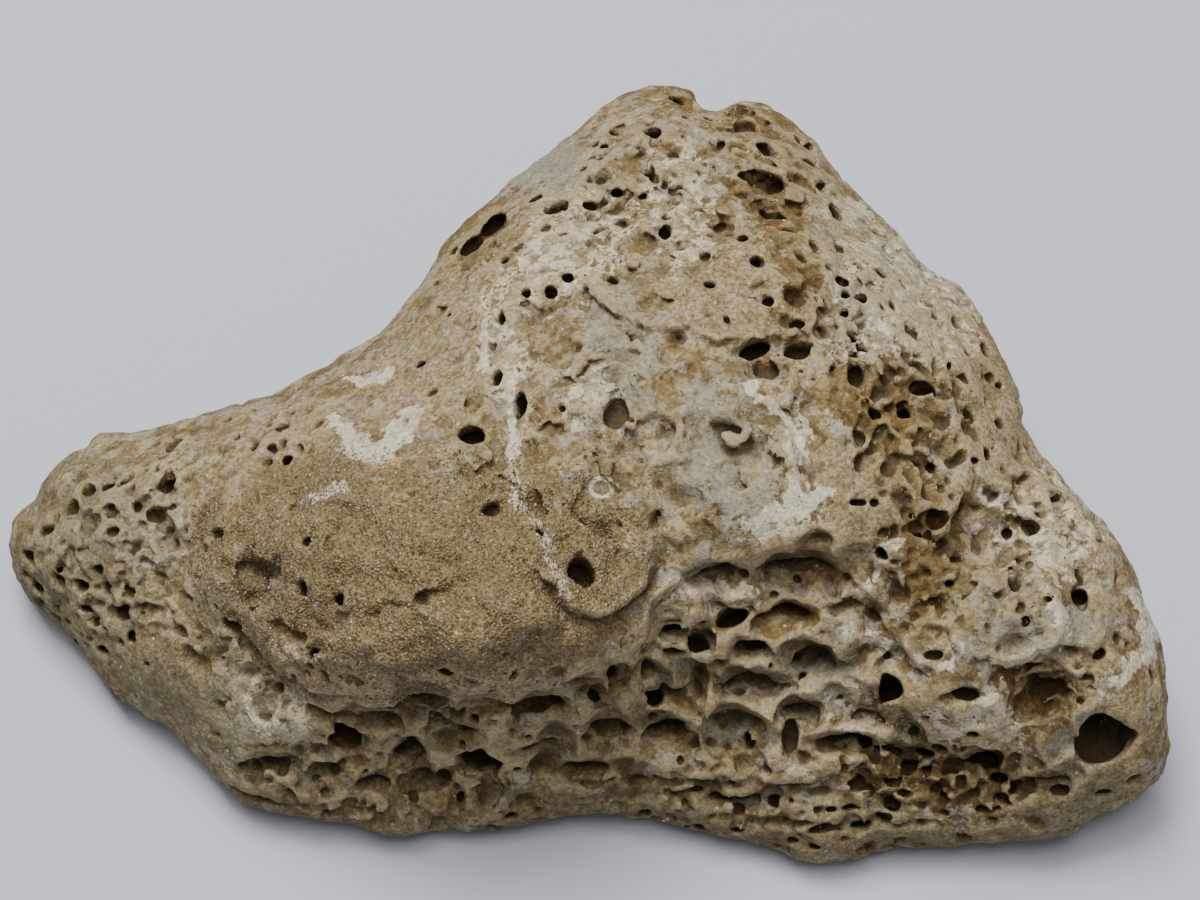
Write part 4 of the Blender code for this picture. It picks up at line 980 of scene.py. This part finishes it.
def largest_piece(points, quads):
    """Leaves out specks that the carving cut off."""
    label = np.arange(len(points))
    first, second = quads.ravel(), np.roll(quads, -1, 1).ravel()
    while True:
        lower = np.minimum(label[first], label[second])
        new = label.copy()
        np.minimum.at(new, first, lower)
        np.minimum.at(new, second, lower)
        new = new[new]
        if (new == label).all():
            break
        label = new
    kept = label == np.bincount(label).argmax()
    number = np.cumsum(kept) - 1
    return points[kept], number[quads[kept[quads[:, 0]]]]


def read_values(collection, name, width=1, kind=np.float32):
    values = np.empty(len(collection) * width, kind)
    collection.foreach_get(name, values)
    return values.reshape(-1, width) if width > 1 else values


def mesh_object(name, points, faces):
    corners = faces.shape[1]
    mesh = bpy.data.meshes.new(name)
    mesh.vertices.add(len(points))
    mesh.vertices.foreach_set("co", (points * MM).astype(np.float32).ravel())
    mesh.loops.add(faces.size)
    mesh.loops.foreach_set("vertex_index", faces.astype(np.int32).ravel())
    mesh.polygons.add(len(faces))
    mesh.polygons.foreach_set("loop_start", np.arange(0, faces.size, corners, dtype=np.int32))
    mesh.update(calc_edges=True)
    made = bpy.data.objects.new(name, mesh)
    bpy.context.scene.collection.objects.link(made)
    return made


def thin(obj, hidden):
    """Thins the hidden sides first, and then the whole mesh where it is plain."""
    counts = np.array([len(polygon.vertices) - 2 for polygon in obj.data.polygons])
    group = obj.vertex_groups.new(name="hidden")
    group.add(np.flatnonzero(hidden).tolist(), 1.0, "REPLACE")
    hidden_count = counts[hidden[read_values(obj.data.polygons, "vertices", 4, np.int32)].all(1)].sum()
    thinned = counts.sum() - HIDDEN_THINNING * hidden_count
    for ratio, name in ((thinned / counts.sum(), group.name), (TRIANGLES / thinned, "")):
        decimate = obj.modifiers.new("thin", "DECIMATE")
        decimate.ratio = ratio
        decimate.vertex_group = name
    evaluated = obj.evaluated_get(bpy.context.evaluated_depsgraph_get())
    mesh = bpy.data.meshes.new_from_object(evaluated)
    obj.modifiers.clear()
    obj.vertex_groups.clear()
    obj.data = mesh
    mesh.polygons.foreach_set("use_smooth", np.ones(len(mesh.polygons), bool))
    mesh.update()


# ---------------------------------------------------------------- the stone


def all_niches():
    """The alcoves, untilted, and the small niches."""
    small = pore_rows(SMALL_NICHES, np.random.default_rng(SEED))
    return [(*row[:4], 0, row[4]) for row in ALCOVES] + list(small)


def carved_block(body, random):
    """The stone's block with all that is carved out of it, its field before the holes, and its warps."""
    block = Block(BLOCK_LOW, BLOCK_HIGH, CUBE)
    block.field = block.values_of(body.face, FACE_STEP)
    warps = [0.7 * block.noise(2.4, SEED + 20 + k) + 0.5 * block.noise(1.0, SEED + 30 + k) for k in range(3)]

    niches = all_niches()
    heights = Chart(lambda places: relief(places, body, niches), RELIEF_STEP)
    chosen, points = block.band(7.0, 1.5)
    places = sighted(points)
    places += WANDER * np.stack([warps[0].ravel()[chosen], warps[1].ravel()[chosen]], 1)
    block.field.ravel()[chosen] -= heights.at(places)

    block.field = smooth_max(block.field, block.values_of(body.underside, FACE_STEP), BLEND)
    uneven = block.values_of(body.unevenness, 2 * FACE_STEP)
    for number, (spacing, height) in enumerate(LUMPS):
        block.field += height * uneven * block.noise(spacing, SEED + number)

    carve_rows(block, warps, SCOOPS, random)
    carve_rows(block, warps, list(arch_rows()), random, level=True, lean=0.1)
    carve_rows(block, warps, groove_rows(random), random)
    carve_rows(block, warps, pore_rows(SCALLOPS, random), random)
    before = block.field.copy()
    carve_rows(block, warps, HOLES, random, lean=0.08, roughness=0.1, opening=HOLE_OPENING)
    carve_rows(block, warps, pore_rows(PORES, random), random, lean=0.3, roughness=0.15, opening=HOLE_OPENING)
    carve_hidden(block, warps, random)

    chosen, _ = block.band(0.9, 0.9)
    for number, (spacing, height) in enumerate(GRAIN):
        block.field.ravel()[chosen] += height * block.noise(spacing, SEED + 50 + number).ravel()[chosen]
    np.maximum(block.field, -(block.places[2] + BLOCK_LOW[2]), out=block.field)
    return block, before, warps


def area_share(places, name):
    """How much each place belongs to an area: 1 in its middle, 0 well outside."""
    nearest = np.min([in_ellipse(places, *row) for row in AREAS[name]], axis=0)
    return np.clip(1.5 - nearest, 0, 1)


def add_attribute(mesh, name, values):
    mesh.attributes.new(name, "FLOAT", "POINT").data.foreach_set("value", np.asarray(values, np.float32))


def paint(obj, block, before, warps, body):
    """Gives each point what its material reads: its areas, depth in a hollow, curve, veins, and the share of
    painted shadow under arches.
    """
    points = read_values(obj.data.vertices, "co", 3) / MM
    places = sighted(points) + WANDER * np.stack([block.sample(warp, points) for warp in warps[:2]], 1)
    facing = smooth_step(points[:, 2] - body.sheet.at(places), *AREAS_END)
    for name in AREAS:
        add_attribute(obj.data, name, area_share(places, name) * facing)
    add_attribute(obj.data, "depth", np.clip(-block.sample(before, points), 0, 8))
    for name, reach in (("ridge", 0.9), ("rise", 2.2)):
        offsets = [sign * reach * axis for axis in np.eye(3) for sign in (-1, 1)]
        around = [block.sample(block.field, points + offset) for offset in offsets]
        add_attribute(obj.data, name, np.mean(around, axis=0))
    vein = np.zeros(len(points))
    for line, width in VEINS:
        gap = in_parts(lambda part: line_distance(part, line)[0], places)
        vein = np.maximum(vein, np.clip(1 - gap / (VEIN_REACH * width * 2), 0, 1))
    add_attribute(obj.data, "vein", vein * facing)
    niches = all_niches()
    # how far each point is under a niche's arch, where shadow and dirt are painted
    arch_shadow_and_dirt = Chart(lambda part: most(under_arch, part, niches), RELIEF_STEP)
    add_attribute(obj.data, "arch_shadow_and_dirt", arch_shadow_and_dirt.at(places) * facing)


def make_stone():
    random = np.random.default_rng(SEED)
    body = Body()
    block, before, warps = carved_block(body, random)
    points, quads = largest_piece(*surface_net(block))
    stone = mesh_object("holey_limestone", points, quads)
    thin(stone, points[:, 2] < body.sheet.at(sighted(points)) - HIDDEN_DEPTH)
    paint(stone, block, before, warps, body)
    return stone


def ring_middle(stone):
    """The point of the stone that is seen at the ring's middle."""
    points = read_values(stone.data.vertices, "co", 3).astype(float)
    gaps = np.linalg.norm(sighted(points / MM) - RING[:2], axis=1) - 20 * points[:, 2]
    return points[gaps.argmin()]


def scatter(stone, count, random):
    """Places strewn evenly over the stone's sandy crust, with the normal at each."""
    mesh = stone.data
    mesh.calc_loop_triangles()
    corners = read_values(mesh.loop_triangles, "vertices", 3, np.int32)
    points = read_values(mesh.vertices, "co", 3)[corners].astype(float) / MM
    normals = np.cross(points[:, 1] - points[:, 0], points[:, 2] - points[:, 0])
    areas = np.linalg.norm(normals, axis=1)
    sand, depth = (
        read_values(mesh.attributes[name].data, "value")[corners].mean(1) for name in ("sand", "depth")
    )
    weights = areas * smooth_step(sand, 0.25, 0.75) * (depth < 0.5)
    chosen = random.choice(len(corners), count, p=weights / weights.sum())
    shares = random.dirichlet((1, 1, 1), count)
    return (points[chosen] * shares[..., None]).sum(1), normals[chosen] / areas[chosen, None]


def make_grains(stone):
    """Grains of sand, sunk to their middles in the sandy crust."""
    random = np.random.default_rng(SEED)
    count = GRAINS
    places, normals = scatter(stone, count, random)
    turns = np.linalg.qr(random.normal(size=(count, 3, 3)))[0]
    turns *= np.sign(np.linalg.det(turns))[:, None, None]
    sizes = random.uniform(*GRAIN_SIZES, (count, 1, 1)) * random.uniform(0.7, 1.2, (count, 1, 3))
    tips = np.concatenate([np.eye(3), -np.eye(3)])
    points = (tips * sizes) @ turns + (places - SUNK * GRAIN_SIZES[0] * normals)[:, None]
    faces = (np.array(OCTAHEDRON) + 6 * np.arange(count)[:, None, None]).reshape(-1, 3)
    grains = mesh_object("sand_grains", points.reshape(-1, 3), faces)
    add_attribute(grains.data, "tone", np.repeat(random.uniform(0, 1, count), 6))
    return grains


# ---------------------------------------------------------------- the material


class Graph:
    """A material's nodes, made and joined by short calls."""

    def __init__(self, name):
        self.material = bpy.data.materials.new(name)
        self.material.use_nodes = True
        self.nodes = self.material.node_tree.nodes
        self.links = self.material.node_tree.links
        self.shader = self.nodes["Principled BSDF"]
        self.places = self.nodes.new("ShaderNodeTexCoord").outputs["Object"]

    def put(self, socket, value):
        if isinstance(value, bpy.types.NodeSocket):
            self.links.new(value, socket)
        else:
            socket.default_value = value

    def noise(self, size, detail=3.0, roughness=0.55):
        """Noise whose features are about this many millimetres across."""
        node = self.nodes.new("ShaderNodeTexNoise")
        self.put(node.inputs["Vector"], self.places)
        self.put(node.inputs["Scale"], 1 / (size * MM))
        self.put(node.inputs["Detail"], detail)
        self.put(node.inputs["Roughness"], roughness)
        return node.outputs["Fac"]

    def cells(self, size, output="Distance"):
        """Cells about this many millimetres across: the distance to the nearest middle, or a colour each."""
        node = self.nodes.new("ShaderNodeTexVoronoi")
        self.put(node.inputs["Vector"], self.places)
        self.put(node.inputs["Scale"], 1 / (size * MM))
        return node.outputs[output]

    def distance(self, middle):
        node = self.nodes.new("ShaderNodeVectorMath")
        node.operation = "DISTANCE"
        self.put(node.inputs[0], self.places)
        self.put(node.inputs[1], middle)
        return node.outputs["Value"]

    def height(self):
        node = self.nodes.new("ShaderNodeSeparateXYZ")
        self.put(node.inputs[0], self.places)
        return node.outputs["Z"]

    def attribute(self, name):
        node = self.nodes.new("ShaderNodeAttribute")
        node.attribute_name = name
        return node.outputs["Fac"]

    def sum(self, operation, a, b):
        node = self.nodes.new("ShaderNodeMath")
        node.operation = operation
        self.put(node.inputs[0], a)
        self.put(node.inputs[1], b)
        return node.outputs[0]

    def ramp(self, value, low, high, to_low=0.0, to_high=1.0):
        """The value taken smoothly from the range low to high into the range to_low to to_high."""
        node = self.nodes.new("ShaderNodeMapRange")
        node.interpolation_type = "SMOOTHSTEP"
        for socket, number in zip(node.inputs, (value, low, high, to_low, to_high)):
            self.put(socket, number)
        return node.outputs[0]

    def mix(self, share, a, b, blend="MIX"):
        node = self.nodes.new("ShaderNodeMix")
        node.data_type = "RGBA"
        node.blend_type = blend
        self.put(node.inputs["Factor"], share)
        for socket, value in ((node.inputs[6], a), (node.inputs[7], b)):
            self.put(socket, value if isinstance(value, bpy.types.NodeSocket) else (*value, 1.0))
        return node.outputs[2]

    def part(self, a, b, mask, most):
        """The second colour over the first where the mask is, and at most this much of it."""
        return self.mix(self.sum("MULTIPLY", mask, most), a, b)

    def over(self, a, b, value, low, high, most=1.0):
        """The second colour over the first, more of it as the value goes from low to high."""
        return self.mix(self.ramp(value, low, high, 0.0, most), a, b)


TAN, TAN_DARK, OLIVE = (0.235, 0.16, 0.066), (0.115, 0.073, 0.027), (0.2, 0.172, 0.09)
CREAM, WHITE, GREY = (0.42, 0.34, 0.19), (0.64, 0.57, 0.42), (0.32, 0.3, 0.23)
SAND_DARK, SAND, SAND_LIGHT = (0.1, 0.066, 0.026), (0.225, 0.158, 0.068), (0.4, 0.315, 0.175)
RUST, RUST_DARK = (0.215, 0.128, 0.034), (0.095, 0.052, 0.014)
SHELL, OLIVE_DARK, BLUISH = (0.70, 0.64, 0.50), (0.115, 0.1, 0.05), (0.4, 0.385, 0.33)
# dark brown for dirt, and for painted shade in hollows, creases, pinholes and under arches
DIRT_AND_SHADE = (0.085, 0.058, 0.027)
GRAIN_DARK, GRAIN_LIGHT, GRAIN_ORANGE = (0.085, 0.057, 0.023), (0.31, 0.23, 0.105), (0.25, 0.145, 0.052)
GRAIN_GREY, GRAIN_WHITE = (0.2, 0.195, 0.165), (0.5, 0.46, 0.36)


def area_mask(graph, name, softness, low=0.42):
    """Where an area is, with a ragged, broken edge."""
    coarse = graph.ramp(graph.noise(2.6), 0.25, 0.75, -softness / 2, softness / 2)
    fine = graph.ramp(graph.noise(0.6), 0.25, 0.75, -softness / 3, softness / 3)
    value = graph.sum("ADD", graph.attribute(name), graph.sum("ADD", coarse, fine))
    return graph.ramp(value, low, low + 0.12)


def seams(graph, size, width):
    """Thin winding seams, where noise crosses its middle."""
    gap = graph.sum("ABSOLUTE", graph.sum("SUBTRACT", graph.noise(size, 4.0, 0.6), 0.5), 0.0)
    return graph.ramp(gap, 0.0, width, 1.0, 0.0)


def stone_colour(graph):
    """The colour of the bare stone: a patchwork of tan, cream and olive with brown seams."""
    mottle = graph.noise(1.7, 4.0, 0.65)
    colour = graph.over(TAN, CREAM, graph.noise(4.0, 4.0, 0.6), 0.44, 0.56)
    colour = graph.over(colour, OLIVE, graph.noise(2.9, 3.0, 0.6), 0.52, 0.6, 0.7)
    colour = graph.over(colour, TAN_DARK, mottle, 0.53, 0.62, 0.75)
    colour = graph.over(colour, CREAM, mottle, 0.45, 0.38, 0.6)
    colour = graph.over(colour, BLUISH, graph.noise(2.2, 3.0, 0.6), 0.52, 0.6, 0.65)
    return graph.part(colour, TAN_DARK, seams(graph, 3.2, 0.03), 0.5)


def sand_colour(graph):
    """The colour of the sandy crust: grains from dark to light."""
    colour = graph.over(SAND_DARK, SAND_LIGHT, graph.cells(0.26, output="Color"), 0.25, 0.75)
    colour = graph.mix(graph.ramp(graph.noise(2.6), 0.3, 0.7, 0.35, 0.7), colour, SAND)
    return graph.over(colour, RUST, graph.noise(4.0, 4.0, 0.6), 0.5, 0.7, 0.35)


def ring(graph, middle, radius, width):
    """A thin ring around a point of the surface: 1 on it."""
    gap = graph.sum("ABSOLUTE", graph.sum("SUBTRACT", graph.distance(middle), radius * MM), 0.0)
    return graph.ramp(gap, 0.5 * width * MM, width * MM, 1.0, 0.0)


def with_patches(graph, colour, fine):
    """Patches of tan, grey and white over the bare stone."""
    tan = graph.over(SAND, CREAM, fine, 0.3, 0.7)
    colour = graph.part(colour, tan, area_mask(graph, "tan", 1.0), 0.6)
    colour = graph.part(colour, GREY, area_mask(graph, "grey", 0.9), 0.7)
    flecks = graph.ramp(graph.noise(1.3), 0.46, 0.53, 0.1, 0.95)
    white = graph.sum("MULTIPLY", area_mask(graph, "white", 1.1, 0.5), flecks)
    return graph.mix(white, colour, WHITE)


def with_painted_highlight_and_shade(graph, colour):
    """Painted light by the broad form: paler, as a painted highlight, where the stone stands out broadly, and
    browner, as painted shade, where it lies back.
    """
    rise = graph.attribute("rise")
    colour = graph.over(colour, CREAM, rise, 0.35, 0.9, 0.35)
    return graph.over(colour, TAN_DARK, rise, 0.0, -0.6, 0.5)


def with_crusts(graph, colour, fine):
    """The sandy crust, the rust of the cavities, and a dark olive cast on the lower edges that is partly
    their colour and partly painted shade.
    """
    colour = graph.part(colour, sand_colour(graph), area_mask(graph, "sand", 0.8), 0.92)
    rust = graph.over(RUST_DARK, RUST, graph.noise(1.3), 0.35, 0.65)
    colour = graph.part(colour, rust, area_mask(graph, "rust", 1.1, 0.5), 0.85)
    # partly painted shade: the lower edges darkened to olive
    olive_and_shade = graph.over(OLIVE_DARK, OLIVE, fine, 0.3, 0.7)
    return graph.part(colour, olive_and_shade, area_mask(graph, "olive_and_shade", 1.0), 0.65)


def with_shell(graph, colour, ring_middle):
    """The white veins, and the small ring on the plate."""
    vein = graph.sum("ADD", graph.attribute("vein"), graph.ramp(graph.noise(1.3), 0.3, 0.7, -0.4, 0.2))
    colour = graph.over(colour, SHELL, vein, 0.3, 0.5, 0.9)
    return graph.part(colour, SHELL, ring(graph, ring_middle, *RING[2:]), 0.85)


def with_dirt_and_painted_shade(graph, colour):
    """Paler along ridges, as a painted highlight; darker in hollows and creases, as dirt and painted shade;
    painted shadow and dirt under arches; painted shade along the foot.
    """
    ridge, depth = graph.attribute("ridge"), graph.attribute("depth")
    # painted highlight: paler along ridges, where the edges catch the light
    colour = graph.over(colour, CREAM, ridge, 0.1, 0.4, 0.6)
    # dirt and painted shade: darker in narrow and deep hollows
    narrow = graph.ramp(ridge, 0.04, -0.15)
    hollow = graph.sum("MULTIPLY", graph.ramp(depth, 0.2, 1.0, 0.0, 0.9), narrow)
    colour = graph.mix(hollow, colour, DIRT_AND_SHADE)
    colour = graph.over(colour, DIRT_AND_SHADE, depth, 1.3, 3.2, 0.8)
    # painted shade: darker towards the ground, where the lip faces away from the light
    height = graph.sum("ADD", graph.height(), graph.ramp(graph.noise(2.6), 0.2, 0.8, -2 * MM, 2 * MM))
    colour = graph.over(colour, TAN_DARK, height, 9 * MM, 3 * MM, 0.4)
    # stains and painted shade: browner where the surface curves in
    colour = graph.over(colour, DIRT_AND_SHADE, ridge, -0.1, -0.4, 0.5)
    # painted shadow and dirt under the arches of the niches
    ragged = graph.ramp(graph.noise(0.6), 0.25, 0.75, -0.25, 0.25)
    arch_shadow_and_dirt = graph.sum("ADD", graph.attribute("arch_shadow_and_dirt"), ragged)
    return graph.over(colour, DIRT_AND_SHADE, arch_shadow_and_dirt, 0.1, 0.95, 0.65)


def with_specks(graph, colour):
    """Dark pinholes, their dark painted shade where no pore is carved, and light specks, each in patches."""
    # painted shade: dark dots for pinholes that are not carved
    dark = graph.ramp(graph.cells(0.8), 0.09, 0.17, 1.0, 0.0)
    dark = graph.sum("MULTIPLY", dark, graph.ramp(graph.noise(2.6), 0.4, 0.56))
    colour = graph.part(colour, DIRT_AND_SHADE, dark, 0.75)
    light = graph.ramp(graph.cells(1.1), 0.11, 0.2, 0.8, 0.0)
    light = graph.sum("MULTIPLY", light, graph.ramp(graph.noise(2.6), 0.54, 0.62))
    return graph.mix(light, colour, WHITE)


def roughen(graph):
    """A dull surface with a fine grit, which is coarsest on the sandy crust."""
    graph.put(graph.shader.inputs["Roughness"], graph.ramp(graph.noise(1.3), 0.3, 0.7, 0.78, 0.97))
    graph.put(graph.shader.inputs["Specular IOR Level"], 0.3)
    grit = graph.sum("MULTIPLY", graph.cells(0.32), graph.ramp(graph.attribute("sand"), 0.3, 0.7, 0.25, 1.0))
    height = graph.sum("ADD", graph.noise(0.8, 4.0, 0.65), graph.sum("MULTIPLY", grit, 0.9))
    bump = graph.nodes.new("ShaderNodeBump")
    graph.put(bump.inputs["Strength"], 0.8)
    graph.put(bump.inputs["Distance"], 0.33 * MM)
    graph.put(bump.inputs["Height"], height)
    graph.put(graph.shader.inputs["Normal"], bump.outputs["Normal"])


def limestone(ring_middle):
    graph = Graph("holey_limestone")
    fine = graph.noise(0.45, 3.0, 0.7)
    colour = with_patches(graph, stone_colour(graph), fine)
    colour = with_painted_highlight_and_shade(graph, colour)
    colour = with_crusts(graph, colour, fine)
    colour = with_shell(graph, colour, ring_middle)
    colour = with_dirt_and_painted_shade(graph, colour)
    colour = with_specks(graph, colour)
    shade = graph.over((0.62, 0.60, 0.56), (1.25, 1.25, 1.25), fine, 0.25, 0.75)
    graph.put(graph.shader.inputs["Base Color"], graph.mix(1.0, colour, shade, "MULTIPLY"))
    roughen(graph)
    return graph.material


def sand_grain():
    """Most grains are as brown as the crust; a few are dark, pale or orange."""
    graph = Graph("sand_grain")
    tone = graph.attribute("tone")
    colour = graph.over(GRAIN_DARK, GRAIN_LIGHT, tone, 0.0, 0.7)
    colour = graph.over(colour, GRAIN_ORANGE, tone, 0.72, 0.74)
    colour = graph.over(colour, GRAIN_GREY, tone, 0.86, 0.88)
    colour = graph.over(colour, GRAIN_WHITE, tone, 0.96, 0.97)
    shade = graph.over((0.85, 0.85, 0.85), (1.1, 1.1, 1.1), graph.noise(0.5), 0.3, 0.7)
    graph.put(graph.shader.inputs["Base Color"], graph.mix(1.0, colour, shade, "MULTIPLY"))
    graph.put(graph.shader.inputs["Roughness"], graph.ramp(tone, 0.0, 1.0, 0.85, 0.45))
    return graph.material


# ---------------------------------------------------------------- the stage, the light and the camera


def plain_material(name, colour, roughness):
    graph = Graph(name)
    graph.put(graph.shader.inputs["Base Color"], (*colour, 1.0))
    graph.put(graph.shader.inputs["Roughness"], roughness)
    return graph.material


def make_floor():
    mesh = bpy.data.meshes.new("floor")
    corners = [(x * FLOOR_REACH, y * FLOOR_REACH, 0) for x, y in ((-1, -1), (1, -1), (1, 1), (-1, 1))]
    mesh.from_pydata(corners, [], [(0, 1, 2, 3)])
    floor = bpy.data.objects.new("floor", mesh)
    bpy.context.scene.collection.objects.link(floor)
    mesh.materials.append(plain_material("floor", (0.58, 0.60, 0.67), 0.9))


def area_light(name, place, size, power, colour):
    light = bpy.data.lights.new(name, "AREA")
    light.energy, light.size, light.color = power, size, colour
    made = bpy.data.objects.new(name, light)
    made.location = place
    made.rotation_euler = (Vector((0, 0, LIT_HEIGHT)) - Vector(place)).to_track_quat("-Z", "Y").to_euler()
    bpy.context.scene.collection.objects.link(made)


def light_stage():
    area_light("window", (-0.14, 0.24, 0.78), 0.35, 6.8, (1.0, 0.985, 0.96))
    area_light("fill", (0.03, -0.05, 0.85), 0.50, 3.6, (1.0, 0.99, 0.97))
    world = bpy.data.worlds.new("studio")
    world.use_nodes = True
    world.node_tree.nodes["Background"].inputs["Color"].default_value = (0.90, 0.94, 1.0, 1.0)
    world.node_tree.nodes["Background"].inputs["Strength"].default_value = 0.2
    bpy.context.scene.world = world


def place_camera():
    camera = bpy.data.cameras.new("camera")
    camera.sensor_width = SENSOR_WIDTH
    camera.lens = SENSOR_WIDTH * SIGHT_DISTANCE / VIEW_WIDTH
    camera.clip_start = 0.01
    made = bpy.data.objects.new("camera", camera)
    made.location = Vector(EYE) * MM
    made.rotation_euler = Vector(-TOWARD).to_track_quat("-Z", "Y").to_euler()
    bpy.context.scene.collection.objects.link(made)
    bpy.context.scene.camera = made


def main():
    place_camera()
    light_stage()
    make_floor()
    stone = make_stone()
    for piece, material in ((stone, limestone(ring_middle(stone))), (make_grains(stone), sand_grain())):
        piece.data.materials.clear()
        piece.data.materials.append(material)
        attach(piece, "root")
        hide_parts("limestone")


main()
